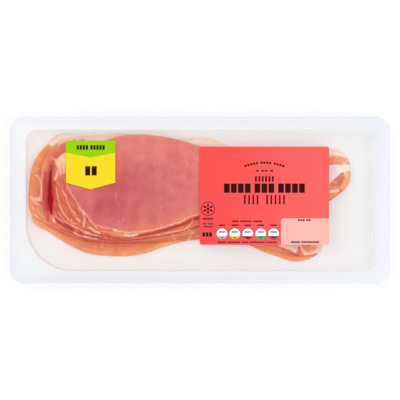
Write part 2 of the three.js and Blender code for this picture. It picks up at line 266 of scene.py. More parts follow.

# What each rasher's slice shows. "rim" is the width of the back fat at the left end, in the middle of
# the eye and at the tail, "seam" the share of the length where the streaky tail begins, "warm" how orange
# the lean turns towards its edge, and "shade" how strongly red painted shade darkens it beside the edge of
# the rasher above.
ANATOMY = (
    {"rim": (1.5, 3.5, 5.0), "seam": 0.42, "warm": 1.0, "shade": 0.3},
    {"rim": (4.6, 6.0, 5.0), "seam": 0.44, "warm": 0.7, "shade": 0.0},
    {"rim": (0.2, 5.5, 5.0), "seam": 0.46, "warm": 0.3, "shade": 0.4},
    {"rim": (0.2, 2.5, 4.5), "seam": 0.48, "warm": 0.1, "shade": 0.4},
    {"rim": (0.2, 0.3, 4.6), "seam": 0.56, "warm": 0.3, "shade": 0.0},
)
ALL = (1, 2, 3, 4, 5)

# Where the top rasher's eye is deepest: strength, middle and reach along and across the pack.
EYE_DEPTHS = (
    (1.0, (-58, 7), (30, 24)),
    (0.45, (-68, -10), (15, 11)),
    (0.25, (-8, 8), (20, 24)),
    (0.15, (-30, -12), (24, 9)),
)

# The eye's left and front edge on the top rasher, and the wedge of fat at that rasher's left end.
EYE_EDGE = (
    (-94.7, 11), (-90.9, 4.1), (-85.8, -4.9), (-80.7, -10.5), (-75.7, -16.9), (-69.3, -19.4),
    (-59.2, -20.8), (-45.4, -23), (-32.9, -21.3), (-22.7, -18.1), (-13.9, -15.6), (-1.3, -10.5),
)
EYE_BACK = ((30, -5), (30, 60), (-94.7, 60))
FAT_WEDGE = (
    (-105.8, 30.4), (-103.6, 29.1), (-101, 30), (-98.5, 32.9), (-95.3, 34.3), (-90, 33), (-91, 22),
    (-95.3, 19.3), (-99.1, 17.4), (-100.4, 19.3), (-101, 16.4), (-103, 13.5), (-103.6, 15.4), (-102, 19.3),
    (-101, 22.4), (-102.6, 25.6), (-104.5, 28.7),
)
WEDGE_LIGHT = ((-92, 31), (-97, 26), (-98.6, 20))
WEDGE_LEAN = ((-93.5, 26), (-95.4, 20.6))
# The strands follow the eye's edge, from this lead-in at the back.
STRAND_LEAD = ((-96.5, 34), (-95.6, 20))

# Marks that the photograph shows, each as the rashers it crosses, its colour, strength, the width of its
# soft edge, its width at its two ends, and its points.
MARKS = (
    # The strands left of the eye, in rows along its edge
    ((5,), "fat_cream", 0.7, 0.7, (0.5, 0.8),
     ((-97.8, 7.2), (-94.7, 0.9), (-92.2, -6.1), (-88.3, -9.9), (-85.8, -16.2))),
    ((5,), "fat_cream", 0.65, 0.7, (0.5, 0.7),
     ((-101.7, 7.8), (-101, 0.2), (-98.5, -6.1), (-94.7, -12.5), (-89.6, -17.5))),
    ((5,), "fat_cream", 0.55, 0.7, (0.4, 0.6),
     ((-102.6, 2.7), (-102.5, -4.4), (-100.1, -9.4), (-96.6, -13.7))),
    ((5,), "lean_red", 0.5, 1.4, (0.5, 0.9),
     ((-96.6, 9.8), (-93, 2), (-90.2, -4.4), (-85.9, -10.8))),
    ((5,), "lean_red", 0.45, 1.4, (0.5, 0.9),
     ((-99.8, 6.9), (-98.3, -0.2), (-95.1, -6.6), (-91.6, -12.2))),
    ((5,), "lean_red", 0.6, 1.5, (1.4, 2.6),
     ((-103.7, 13.3), (-103.7, 6.9), (-102.9, -0.2), (-100.8, -7.3))),
    # Edge of the eye: a pale seam, widest along the front
    ((5,), "fat_cream", 0.75, 0.6, (0.5, 0.6),
     ((-94.7, 11), (-90.9, 4.1), (-85.8, -4.9), (-80.7, -10.5),
      (-75.7, -16.9), (-69.3, -19.4), (-59.2, -20.8))),
    ((5,), "fat_cream", 0.75, 0.7, (0.9, 0.5),
     ((-61.8, -21.8), (-51.8, -23), (-45.4, -23), (-32.9, -21.3), (-22.7, -18.1),
      (-13.9, -15.6), (-7.6, -11.8), (-1.3, -10.5))),
    ((5,), "fat_white", 0.8, 0.7, (0.5, 1.1),
     ((-85.8, -4.9), (-82.6, -9.3), (-82, -15), (-82.6, -18.8))),
    ((5,), "fat_white", 0.75, 0.6, (1, 0.6),
     ((-61.1, -21.2), (-57.9, -21.9))),
    # Fat and cut fibres where the edges of the top rashers lie together
    ((3, 4, 5), "fat_cream", 0.7, 0.7, (0.6, 0.6),
     ((-104.2, -11.2), (-98.5, -14.4), (-93.4, -16.9), (-88.3, -19.4), (-82, -22))),
    ((3, 4, 5), "lean_red", 0.75, 1.2, (1.6, 2.6),
     ((-103.7, -13.7), (-99.4, -16.5), (-95.1, -18.6), (-90.9, -20.8))),
    ((3, 4, 5), "fat_cream", 0.75, 0.8, (1.6, 1),
     ((-104.4, -14), (-103.3, -17.6))),
    ((2,), "lean_coral", 0.7, 2, (2, 3),
     ((-106.5, -17.9), (-99.4, -21.5), (-90.9, -24.7), (-81.6, -27.4), (-68.2, -29),
      (-49.7, -29.1), (-28.4, -28.3), (-4.3, -26))),
    (ALL, "lean_red", 0.85, 0.9, (0.5, 1),
     ((-85.2, -20.1), (-80.7, -21.5), (-76.7, -23.2), (-71.7, -24.7), (-63.9, -26.2))),
    (ALL, "fat_white", 0.85, 0.7, (0.7, 1),
     ((-79.4, -19.4), (-75.6, -21.3), (-71.2, -23.7))),
    (ALL, "fat_white", 0.8, 0.7, (0.7, 0.8),
     ((-82, -22.6), (-76.3, -24.7), (-70.6, -26.2))),
    (ALL, "lean_red", 0.8, 0.9, (0.7, 0.9),
     ((-85.9, -22.9), (-79.5, -25.5), (-69.3, -27.2))),
    (ALL, "fat_white", 0.8, 0.7, (0.9, 1.1),
     ((-82.6, -25.9), (-78.1, -27), (-73.1, -28.2))),
    (ALL, "fat_white", 0.75, 0.7, (1, 0.8),
     ((-89.6, -23.5), (-84.6, -26))),
    (ALL, "lean_orange", 0.9, 1.2, (1.4, 2.8),
     ((-68.2, -22.2), (-62.5, -23.5), (-58.2, -24.3), (-54, -25))),
    (ALL, "fat_white", 0.8, 0.9, (2, 1.4),
     ((-52.8, -24.9), (-49, -25.2), (-44.7, -25))),
    # Dark red lines along the front edges of the upper rashers: red lean, with painted shade beneath those
    # edges
    (ALL, "lean_red", 0.45, 1, (0.8, 1.3),
     ((-99.8, -20.8), (-90.9, -23.9), (-82, -27.8), (-69.3, -28.9),
      (-53.2, -28.7), (-41.2, -27.9), (-31.9, -25.7))),
    (ALL, "lean_red", 0.8, 1.8, (1.2, 2.6),
     ((-45.4, -26), (-35.5, -24), (-24.1, -21.2), (-14.2, -17.9), (-4.3, -13.4), (0, -11.8))),
    (ALL, "fat_cream", 0.7, 0.6, (0.5, 0.9),
     ((-35.5, -25.7), (-24.8, -23.6), (-11.4, -21.3), (-7.8, -18.6), (-4.8, -14.2))),
    # Seams in the tails under the label's left edge
    ((1, 2, 3), "fat_cream", 0.75, 0.8, (0.5, 1.1),
     ((-3.9, -14.4), (-6, -17.9), (-8.2, -21.8))),
    ((1, 2, 3), "fat_cream", 0.7, 0.8, (0.6, 1),
     ((-5.7, -22.5), (-6.8, -25.7), (-8.5, -28.9))),
    ((1, 2, 3), "fat_cream", 0.7, 0.7, (0.6, 0.5),
     ((-5, -23.2), (-2.1, -24.7), (0, -25.7))),
    ((1, 2, 3), "fat_cream", 0.6, 0.8, (0.5, 1),
     ((-20.3, -23.9), (-18.5, -26.4), (-17, -29))),
    ((1, 2), "fat_cream", 0.45, 0.9, (0.4, 0.9),
     ((-69.2, -29.3), (-69.6, -32.1), (-70.3, -33.9))),
    ((1, 2), "fat_cream", 0.35, 1, (0.4, 0.6),
     ((-107.2, -18.6), (-106.7, -22.2))),
    # The lobe at the far left: pale corner, hook and streaks
    ((2,), "fat_cream", 0.8, 1.6, (3, 1),
     ((-117.9, 26.4), (-116.4, 24.7), (-115.4, 22.2))),
    ((2,), "fat_cream", 0.8, 0.9, (1, 1.5),
     ((-118.8, 18.6), (-115.7, 17.3), (-113.6, 14), (-112.9, 9.1), (-113.2, 4.8), (-113.9, 0.5))),
    ((2,), "fat_cream", 0.6, 1.4, (0.8, 3.2),
     ((-120.7, 2.7), (-117.9, 0.5), (-113.9, 0.4))),
    ((2,), "fat_cream", 0.7, 0.8, (0.9, 0.9),
     ((-120.7, 2), (-118.1, -1.6), (-113.1, -4.2), (-108, -9.9))),
    ((2,), "lean_red", 0.35, 1, (0.6, 0.6),
     ((-118.6, -3.4), (-114.3, -5.9), (-110.8, -9.4))),
    ((2,), "fat_cream", 0.5, 0.9, (0.7, 0.5),
     ((-119.6, -5.1), (-116.4, -8.3), (-112.2, -11.9), (-109.3, -15.1))),
    ((1, 2), "fat_cream", 0.45, 1.2, (0.8, 1.2),
     ((-118.6, -10.1), (-115, -13.7), (-111.5, -16.9))),
    ((2,), "lean_orange", 0.7, 3, (3.5, 3),
     ((-113.6, -5.9), (-110.8, -10.1), (-107.9, -15.1))),
    ((2,), "fat_cream", 0.5, 0.7, (0.4, 0.7),
     ((-116.4, -4.9), (-115, -8), (-112.2, -10.4))),
    ((2,), "fat_cream", 0.5, 0.7, (0.4, 0.6),
     ((-112.6, -6.6), (-110.3, -9), (-107.2, -13.7))),
    ((1, 2), "lean_coral", 0.6, 1.2, (0.8, 1.4),
     ((-117.9, -8), (-115, -11.1), (-111.5, -14))),
    ((2,), "lean_coral", 0.6, 1.2, (0.8, 1.4),
     ((-110.8, -11.5), (-108.6, -15.1), (-103.7, -17.9))),
    # Warm thin lean, paler painted light where the upper rashers' edges shade the lean, and red painted
    # shade deepening into the crease beside the top rasher
    ((2,), "lean_orange", 1, 2.4, (6, 5),
     ((-119.3, 20.4), (-116.7, 27.5), (-112.9, 33.2), (-108.2, 37))),
    # Painted highlight along the second rasher's outer edge, and paler paint as painted light where the
    # third rasher's edge shades the lean beside it
    ((2,), "fat_peach", 0.25, 1.2, (1, 1),
     ((-120.3, 22.5), (-117.9, 29.2), (-114.3, 34.9), (-110, 39.9))),
    ((2, 3), "lean_orange", 0.6, 2.2, (2.4, 2.4),
     ((-112.6, 20.4), (-111.2, 26.8), (-108.3, 32.5), (-104.8, 37), (-100.8, 40))),
    ((2,), "fat_peach", 0.6, 1.4, (1.8, 1.8),
     ((-114, 11.2), (-113.3, 16.9), (-112.6, 22.5), (-111.2, 28.2), (-107.9, 33.9), (-103.7, 37.9))),
    ((3,), "lean_orange", 0.6, 3, (3, 3),
     ((-109.7, 19.7), (-108.6, 26.8), (-105.4, 32.8), (-100.8, 36.7))),
    ((2, 3), "fat_cream", 0.9, 1.4, (2.2, 2.4),
     ((-100.8, 40.3), (-95.1, 42.6), (-88.8, 44.3), (-76.7, 45.3), (-63.9, 45.7))),
    ((2,), "fat_white", 1, 1.4, (3, 3.8),
     ((-99.4, 45.5), (-88.8, 46.3), (-76.7, 47.4), (-62.5, 47.8), (-45.4, 47.4))),
    # Darker lean and red painted shade deepening towards the crease under the top rashers' left ends, then
    # the crease itself, painted deep red as shade
    ((2, 3, 4), "lean_deep", 0.25, 4, (1, 4),
     ((-97.3, 38.2), (-100.8, 35), (-105.1, 31.8))),
    ((2, 3, 4, 5), "lean_deep", 0.7, 5, (2, 6.5),
     ((-106.5, 26.1), (-107.5, 19.7), (-108.3, 11.2), (-108.2, 1.2), (-107.2, -6.6))),
    ((3, 4, 5), "lean_red", 0.85, 3.2, (1.6, 4.2),
     ((-105.8, 24), (-106.6, 15.4), (-107.1, 6.9), (-106.6, -5.9))),
    ((3, 4, 5), "shaded_crease", 1, 2.6, (0.8, 4),
     ((-106.1, 19.7), (-106.2, 13.3), (-106.5, 6.2), (-106.4, 0.5))),
    ((3, 4, 5), "shaded_crease", 1, 2.2, (4, 1),
     ((-106.4, 0.5), (-106.1, -4.4), (-105.8, -10.1))),
    ((3,), "lean_red", 0.7, 3, (2, 4),
     ((-110, 19), (-110.5, 11.2), (-110.5, 2.7), (-109.1, -5.9))),
    ((2, 3), "lean_red", 0.55, 2.2, (2.6, 1.6),
     ((-107.6, -4.4), (-107.9, -9.4), (-108.5, -15.1))),
    ((5,), "lean_rose", 0.5, 3, (2, 6),
     ((-98, 25.4), (-99.1, 21.1), (-99.1, 16.9))),
    ((5,), "lean_deep", 0.6, 1.4, (0.8, 2),
     ((-104.7, 28.2), (-102.9, 24), (-103.1, 19.7))),
    ((5,), "lean_rose", 0.8, 0.7, (0.3, 1.3),
     ((-100.5, 23.3), (-100.4, 20.4), (-100.3, 17.6))),
    ((5,), "lean_rose", 0.7, 0.7, (0.4, 1),
     ((-97.7, 22.3), (-98.3, 18.3))),
    ((5,), "fat_cream", 0.6, 0.8, (0.6, 1),
     ((-99.1, 26.1), (-99.1, 22.5), (-99.3, 19.4))),
    ((3, 4, 5), "fat_peach", 0.8, 0.9, (0.8, 2),
     ((-105.8, 30.2), (-103.9, 29.2), (-101.8, 27.8))),
    ((3,), "fat_cream", 0.7, 0.9, (0.6, 1.2),
     ((-114.7, 19.7), (-113.3, 14), (-112.9, 8.3), (-112.9, 4.1), (-113.2, -0.2))),
    # Tail of the top rasher, right of the label
    ((5,), "fat_cream", 1, 1, (6.5, 6),
     ((86.6, 33.9), (96.6, 33.5), (106.5, 31.1))),
    ((5,), "lean_edge", 0.85, 1.2, (4.4, 4.6),
     ((86.6, 28.4), (96.6, 28.4), (107.2, 27.5))),
    ((5,), "lean_edge", 0.8, 1, (1.4, 1.2),
     ((94.4, 30.6), (97.3, 31.3), (100.8, 30.4))),
    ((5,), "fat_cream", 0.5, 0.9, (0.6, 1.6),
     ((103.7, 26.2), (105.4, 28.6))),
    ((5,), "fat_white", 0.6, 1.6, (3, 3),
     ((88, 33.9), (96.6, 33.6), (103.7, 32.2))),
    ((5,), "fat_white", 1, 1.2, (6.4, 5.2),
     ((86.6, 21.8), (96.6, 22.5), (108.6, 22.5))),
    ((5,), "fat_white", 1, 1.4, (8, 3),
     ((89.5, 14), (94.4, 17.1), (100.1, 21.1))),
    ((5,), "lean_rose", 1, 1.4, (6, 8),
     ((95.8, 10.5), (100.4, 13.7))),
    ((5,), "lean_orange", 0.5, 1.8, (6.5, 8),
     ((95.8, 10.5), (102.2, 13.6))),
    ((5,), "lean_coral", 0.6, 1.6, (3, 4),
     ((98.7, 11.4), (101.5, 15.2))),
    ((5,), "fat_cream", 0.5, 0.8, (0.8, 1.6),
     ((94.4, 13.2), (96.6, 12.4))),
    ((5,), "lean_edge", 0.85, 1.8, (4.4, 4.6),
     ((105.5, 18.6), (104.8, 13.3), (102.2, 9.1))),
    ((5,), "lean_edge", 0.7, 1.2, (2, 2),
     ((93, 8.8), (99.4, 8.6), (102.9, 9.8))),
    ((5,), "fat_cream", 0.95, 1.2, (3, 2.2),
     ((86.6, 5.5), (93, 5.9), (98, 6.6))),
    ((5,), "lean_edge", 0.8, 1, (3.6, 1.6),
     ((86.6, 1.2), (93, 2.8), (97.3, 4.4))),
    # Tail of the second rasher, in front of the label
    ((2,), "fat_cream", 0.95, 1.4, (4, 3.6),
     ((57.5, -31.1), (63.2, -32.8), (68.2, -35.3))),
    ((2,), "fat_white", 0.8, 1.2, (1.6, 1.6),
     ((58.2, -32.8), (63.9, -34.5), (68.2, -36.7))),
    ((2,), "fat_cream", 0.9, 1, (3, 3),
     ((60.3, -31.4), (66, -32.6), (71, -32.1))),
    ((2,), "lean_rose", 1, 0.9, (0.6, 3.2),
     ((70.6, -32.8), (70.4, -35.7), (70.3, -39.2))),
    ((2,), "fat_cream", 0.9, 1, (0.8, 2.6),
     ((71.7, -32.6), (73.4, -35.7), (75.3, -38.1))),
    ((2,), "fat_cream", 0.8, 1.2, (2.4, 3),
     ((75.3, -38.2), (79.5, -37.8), (84.5, -36))),
    ((2,), "lean_edge", 0.9, 1.6, (3, 3),
     ((75.3, -33.3), (78.1, -34.7))),
    ((2,), "lean_orange", 0.7, 1.4, (2, 1.4),
     ((74.3, -32.6), (76.4, -35.3), (77.7, -36.1))),
    ((2,), "fat_peach", 0.8, 1.8, (3, 3),
     ((80.2, -32.8), (83.8, -33.1))),
    ((2,), "fat_cream", 0.85, 1.2, (2, 2),
     ((85.6, -31.8), (85.5, -35))),
    ((1, 2), "lean_red", 0.45, 1.6, (0.8, 2),
     ((57.5, -34.5), (63.9, -37.4), (69.6, -39.9))),
    ((1,), "lean_orange", 0.6, 2.4, (3, 2.4),
     ((44, -34.7), (51.1, -36.4), (59.6, -39.2), (68.2, -41.4), (76.7, -40.4))),
    # Back fat of the lower rashers behind the eye's right end
    ((1, 2, 3, 4), "fat_cream", 1, 0.8, (3, 3),
     ((-11.4, 42.4), (-2.8, 44), (7.1, 43.6), (18.5, 41))),
    ((3, 4), "fat_cream", 1, 1, (4, 5),
     ((-1.4, 37.9), (8.5, 37.2), (17, 36))),
    ((1, 2, 3, 4), "fat_white", 0.8, 1.2, (2.4, 3.4),
     ((-9.9, 41), (-1.4, 41.4), (7.1, 40.7), (18.5, 38.2))),
    # Loose fibres in the eye
    ((5,), "fat_cream", 0.35, 0.7, (0.4, 0.5),
     ((-59.6, 5.3), (-59.7, -1), (-57.7, -3.6))),
    ((5,), "fat_cream", 0.25, 0.9, (0.8, 0.8),
     ((-58.6, -15.7), (-57.5, -14.8))),
    ((5,), "fat_cream", 0.25, 0.9, (0.8, 0.8),
     ((-55.1, -14.8), (-54, -14.1))),
    ((5,), "fat_cream", 0.25, 0.8, (0.5, 0.5),
     ((-28.4, -5.9), (-27.4, -3.7))),
    ((5,), "fat_cream", 0.2, 1.2, (1, 1),
     ((-14.2, 0.2), (-12.5, 2.7))),
    ((5,), "fat_cream", 0.22, 0.8, (0.5, 0.5),
     ((-54, -9.4), (-53.2, -7.7))),
    ((5,), "fat_cream", 0.22, 0.8, (0.6, 0.4),
     ((-40.5, -3), (-39, -5.1))),
    ((5,), "fat_cream", 0.18, 1, (0.6, 0.6),
     ((-22.7, 15.4), (-22, 19.7))),
    ((5,), "fat_cream", 0.18, 1, (0.5, 0.7),
     ((-9.9, 29.6), (-9.2, 24))),
    ((5,), "fat_cream", 0.2, 0.8, (0.5, 0.5),
     ((-70.3, -8.7), (-68.9, -10.1))),
    ((5,), "lean_deep", 0.35, 5, (1.5, 1.5),
     ((-49, 15.4), (-45.4, 21.1), (-41.2, 26.1), (-36.2, 26.8), (-32.7, 23.3), (-31.2, 17.6))),
)


def linear(code):
    """Scene-linear colour of an sRGB hex value."""
    channels = [int(code[i:i + 2], 16) / 255 for i in (0, 2, 4)]
    return tuple(c / 12.92 if c <= 0.04045 else ((c + 0.055) / 1.055) ** 2.4 for c in channels)


def colour_property(name, description, code):
    """A colour that the user can change, given as sRGB hex."""
    return bpy.props.FloatVectorProperty(
        name=name, description=description, default=linear(code), subtype="COLOR", size=3, min=0, max=1
    )


def length_property(name, description, millimetres):
    """A length that the user can change, given in millimetres and held in metres."""
    return bpy.props.FloatProperty(
        name=name, description=description, default=millimetres * MM, unit="LENGTH", precision=5, min=0
    )


def number_property(name, description, default, unit="NONE"):
    """A plain number or a power that the user can change."""
    return bpy.props.FloatProperty(name=name, description=description, default=default, unit=unit, min=0)


class PackSizes(bpy.types.PropertyGroup):
    """Sizes that a user of the pack would change."""

    tray_sheet: length_property("Tray sheet", "Thickness of the formed tray", 0.5)
    film_sheet: length_property("Film", "Thickness of the lid film", 0.08)
    paper: length_property("Paper", "Thickness of the label and the sticker", 0.1)
    ink: length_property("Ink", "How far printed shapes stand above their paper", 0.03)
    rasher_wave: length_property("Rasher wave", "Height of the slow waves in a rasher", 0.22)


class PackColours(bpy.types.PropertyGroup):
    """Colours of the meat, the clear plastics and the print."""

    lean_deep: colour_property("Deep lean", "Thick lean of the eye", "d7686a")
    lean_rose: colour_property("Rose lean", "Paler lean of the eye", "f19082")
    lean_coral: colour_property("Coral lean", "Lean nearer the edges", "ea7c62")
    lean_orange: colour_property("Orange lean", "Thin lean that light comes through", "f8a568")
    lean_edge: colour_property("Lean edge", "The thinnest lean, along a cut edge", "fcc08e")
    lean_red: colour_property("Red lean", "Lean in the shade of a rasher above", "c93a30")
    # Deep red painted shade in the wet hollow between the rashers
    shaded_crease: colour_property("Crease", "Wet hollow between the rashers", "bd000f")
    fat_white: colour_property("White fat", "Fat in seams and in the tail", "fff0e6")
    fat_cream: colour_property("Cream fat", "Fat that the cure has tinted", "ffdfc6")
    fat_peach: colour_property("Peach fat", "Outermost back fat", "fbcda6")
    flange: colour_property("Flange", "Clear polyester sheet at full thickness", "f1f6f8")
    flange_rim: colour_property("Rim", "The same sheet towards its curled rim", "dfe5f1")
    hollow: colour_property("Hollow", "The same sheet where it is drawn thin", "b8bebc")
    # Painted reflection of the meat's colour on the clear sheet near it and in the wall
    meat_reflection: colour_property("Blush", "The meat's colour, thrown back by the sheet near it", "ff9a86")
    film: colour_property("Film", "Clear lid film", "94969b")
    label_left: colour_property("Label, left", "Coral red field at the label's left", "ff4f4f")
    # The label's right colour carries a painted sheen
    label_right_with_sheen: colour_property("Label, right", "The same field at the right, a little paler", "ff6462")
    date_box: colour_property("Date box", "Pale field for a date", "ffbcb0")
    ink_brown: colour_property("Ink", "Dark brown printed shapes", "33100f")
    disc_white: colour_property("Disc", "White of the five discs", "ffffff")
    disc_grey: colour_property("Grey disc", "Lower part of the first disc", "b4c2ca")
    disc_amber: colour_property("Amber disc", "Lower part of the second disc", "f3c33a")
    disc_crimson: colour_property("Crimson disc", "Lower part of the third and last discs", "c5103a")
    disc_green: colour_property("Green disc", "Lower part of the fourth disc", "35b44b")
    sticker_yellow: colour_property("Sticker yellow", "Lower field of the sticker", "fedd24")
    sticker_green: colour_property("Sticker green", "Upper field of the sticker", "9cd400")


class StageSettings(bpy.types.PropertyGroup):
    """Camera, lights and light table."""

    lens: number_property("Lens", "Focal length in millimetres", 300)
    framed: length_property("Framed width", "Width that the square picture takes in at the flange", 284)
    sky: number_property("Sky", "Strength of the white surround", 0.66)
    key: number_property("Key", "Power of the soft light at the back left", 4.0, "POWER")
    fill: number_property("Fill", "Power of the soft light at the front right", 3.4, "POWER")
    glow: number_property("Glow", "Light that the table gives by itself", 0.39)


def sizes():
    """The pack's sizes, as the user has set them."""
    return bpy.context.scene.bacon_pack_sizes


def colours():
    """The pack's colours, as the user has set them."""
    return bpy.context.scene.bacon_pack_colours


def ease(start, end, value):
    """Smooth step from 0 at start to 1 at end."""
    t = np.clip((value - start) / (end - start), 0, 1)
    return t * t * (3 - 2 * t)


def wobble(x, y, size, seed):
    """Smooth uneven field between about -1 and 1, with humps some size millimetres apart: a few waves, each
    with a direction, length and start drawn from the seed."""
    turns = np.random.default_rng(seed)
    total = np.zeros_like(x, dtype=float)
    for _ in range(WAVES):
        angle, phase = turns.uniform(0, 2 * math.pi, 2)
        stretch = turns.uniform(0.7, 1.5) * 2 * math.pi / size
        total += np.sin((x * math.cos(angle) + y * math.sin(angle)) * stretch + phase)
    return total / 3


# Shapes

def rounded_loop(length, width, centre, corners):
    """Rectangle with round corners, anticlockwise from its front left one; a corner is (radius, steps)."""
    arcs = []
    for corner, (sx, sy) in enumerate(((-1, -1), (1, -1), (1, 1), (-1, 1))):
        radius, steps = corners[corner]
        angles = math.pi / 2 * (corner + 2 + np.arange(steps + 1) / steps)
        cx = centre[0] + sx * (length / 2 - radius)
        cy = centre[1] + sy * (width / 2 - radius)
        arcs.append(np.stack([cx + radius * np.cos(angles), cy + radius * np.sin(angles)], axis=1))
    loop = []
    for arc, following, steps in zip(arcs, arcs[1:] + arcs[:1], (LONG_SIDE_STEPS, SHORT_SIDE_STEPS) * 2):
        share = (np.arange(1, steps) / steps)[:, None]
        loop += [arc, arc[-1] + (following[0] - arc[-1]) * share]
    return np.concatenate(loop)


def flange_loop(inset):
    """The flange's outline drawn in by inset, with as many points as the hollow's."""
    steps = (PEEL_STEPS, CORNER_STEPS, CORNER_STEPS, CORNER_STEPS)
    corners = [(PACK_CORNER - inset, count) for count in steps]
    return rounded_loop(PACK_LENGTH - 2 * inset, PACK_WIDTH - 2 * inset, (0, 0), corners)


def mouth_loop(inset):
    """The hollow's outline drawn in by inset; below 0 it lies outside the mouth."""
    plain = (max(MOUTH_CORNER - inset, TIGHTEST_CORNER), CORNER_STEPS)
    corners = [(max(PEEL_CORNER - inset, TIGHTEST_CORNER), PEEL_STEPS), plain, plain, plain]
    return rounded_loop(MOUTH_LENGTH - 2 * inset, MOUTH_WIDTH - 2 * inset, (0, MOUTH_CENTRE_Y), corners)


def at_height(loop, z):
    """A level outline as points in space."""
    return np.column_stack([loop, np.broadcast_to(z, len(loop))])


def lofted(low_pole, loops, high_pole):
    """Points and faces of a closed body through loops: out along its underside and back in on top."""
    count = len(loops[0])
    points = np.concatenate([[low_pole], *loops, [high_pole]])
    last = len(points) - 1
    faces = []
    for i in range(count):
        j = (i + 1) % count
        faces.append((0, 1 + j, 1 + i))
        for ring in range(len(loops) - 1):
            a = 1 + ring * count
            faces.append((a + i, a + j, a + count + j, a + count + i))
        end = 1 + (len(loops) - 1) * count
        faces.append((end + i, end + j, last))
    return points, faces


def new_piece(name, points, faces, material, replaced=None):
    """A smooth mesh piece in metres that rides on the pack's one body."""
    mesh = bpy.data.meshes.new(name)
    mesh.from_pydata((np.asarray(points) * MM).tolist(), [], faces)
    mesh.polygons.foreach_set("use_smooth", [True] * len(mesh.polygons))
    mesh.update()
    mesh.set_sharp_from_angle(angle=SHARP_FROM)
    mesh.materials.append(material)
    piece = bpy.data.objects.new(name, mesh)
    bpy.context.scene.collection.objects.link(piece)
    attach(piece, BODY)
    if replaced:
        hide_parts(replaced)
    return piece


def fillet_loops(radius, wall_inset, level_z, side):
    """Loops of a quarter-round fillet between the upright wall and a level face."""
    loops = []
    for angle in math.pi / 2 * np.arange(FILLET_STEPS + 1) / FILLET_STEPS:
        loop = mouth_loop(wall_inset + side * radius * (1 - math.sin(angle)))
        loops.append(at_height(loop, level_z + side * radius * (1 - math.cos(angle))))
    return loops


def film_height(x, y):
    """Underside of the film: sealed down on the flange and slightly full over the hollow."""
    across = np.clip(1 - (2 * x / MOUTH_LENGTH) ** 2, 0, 1)
    along = np.clip(1 - (2 * (y - MOUTH_CENTRE_Y) / MOUTH_WIDTH) ** 2, 0, 1)
    edge = np.minimum(MOUTH_LENGTH / 2 - np.abs(x), MOUTH_WIDTH / 2 - np.abs(y - MOUTH_CENTRE_Y))
    lifted = FILM_LOW.z / MM - FLANGE_TOP - FILM_SEAL
    rim = np.minimum(PACK_LENGTH / 2 - np.abs(x), PACK_WIDTH / 2 - np.abs(y))
    curl = RIM_DROP * (1 - ease(0, RIM_CURL, rim))
    return FLANGE_TOP + FILM_SEAL + lifted * ease(0, FILM_RISE, edge) + FILM_CROWN * across * along - curl


def film_sheet(loops, centre, lift, thickness):
    """Points and faces of a thin sheet that follows the film; its loops run from the middle out."""
    under = [np.column_stack([p, film_height(p[:, 0], p[:, 1]) + lift]) for p in loops]
    over = [u + (0, 0, thickness) for u in reversed(under)]
    middle = np.array([*centre, float(film_height(np.array(centre[0]), np.array(centre[1]))) + lift])
    return lofted(middle, under + over, middle + (0, 0, thickness))


def scaled_loops(outline, centre, steps):
    """Copies of an outline at growing size round its centre."""
    centre = np.array(centre)
    return [centre + (outline - centre) * (step + 1) / steps for step in range(steps)]


# Rashers

def closed_curve(points):
    """Closed centripetal Catmull-Rom curve through the points, OUTLINE_STEPS samples to a stretch."""
    p1 = np.array(points, float)
    p0, p2, p3 = np.roll(p1, 1, 0), np.roll(p1, -1, 0), np.roll(p1, -2, 0)
    d0, d1, d2 = (np.linalg.norm(b - a, axis=1)[:, None] ** 0.5 for a, b in ((p0, p1), (p1, p2), (p2, p3)))
    t1 = d1 * ((p1 - p0) / d0 - (p2 - p0) / (d0 + d1) + (p2 - p1) / d1)
    t2 = d1 * ((p2 - p1) / d1 - (p3 - p1) / (d1 + d2) + (p3 - p2) / d2)
    t = (np.arange(OUTLINE_STEPS) / OUTLINE_STEPS)[None, :, None]
    c2 = (3 * (p2 - p1) - 2 * t1 - t2)[:, None]
    c3 = (2 * (p1 - p2) + t1 + t2)[:, None]
    return (p1[:, None] + t1[:, None] * t + c2 * t ** 2 + c3 * t ** 3).reshape(-1, 2)


def spread(samples):
    """Points along a sampled edge, closer together towards its two tips."""
    lengths = np.concatenate([[0], np.cumsum(np.linalg.norm(np.diff(samples, axis=0), axis=1))])
    u = np.arange(RASHER_STEPS + 1) / RASHER_STEPS
    wanted = lengths[-1] * (u + (1 - np.cos(np.pi * u)) / 2) / 2
    return np.column_stack([np.interp(wanted, lengths, samples[:, k]) for k in (0, 1)])


def edge_rows(shape):
    """A rasher's front and back edges as rows of points that pair up from tip to tip, and its outline."""
    outline = closed_curve(shape["front"] + shape["back"])
    tip = (len(shape["front"]) - 1) * OUTLINE_STEPS
    near = spread(outline[:tip + 1])
    far = spread(np.concatenate([outline[:1], outline[:tip - 1:-1]]))
    return near, far, outline


def shifts(reach):
    """Cell offsets within a round reach."""
    span = int(reach // DRAPE_CELL)
    offsets = range(-span, span + 1)
    return [(i, j) for i in offsets for j in offsets if math.hypot(i, j) * DRAPE_CELL <= reach]


def shifted(field, i, j):
    """The field moved by whole cells, with its border carried on outwards."""
    span = int(DRAPE_REACH // DRAPE_CELL)
    padded = np.pad(field, span, mode="edge")
    rows, columns = field.shape
    return padded[span + j:span + j + rows, span + i:span + i + columns]


def draped_over(stack):
    """The surface that a limp slice takes over a stack: the highest point in reach, then softened."""
    spanned = np.max([shifted(stack, i, j) for i, j in shifts(DRAPE_REACH)], axis=0)
    for reach in (DRAPE_SOFTEN, DRAPE_SOFTEN / 2):
        spanned = np.mean([shifted(spanned, i, j) for i, j in shifts(reach)], axis=0)
    return spanned


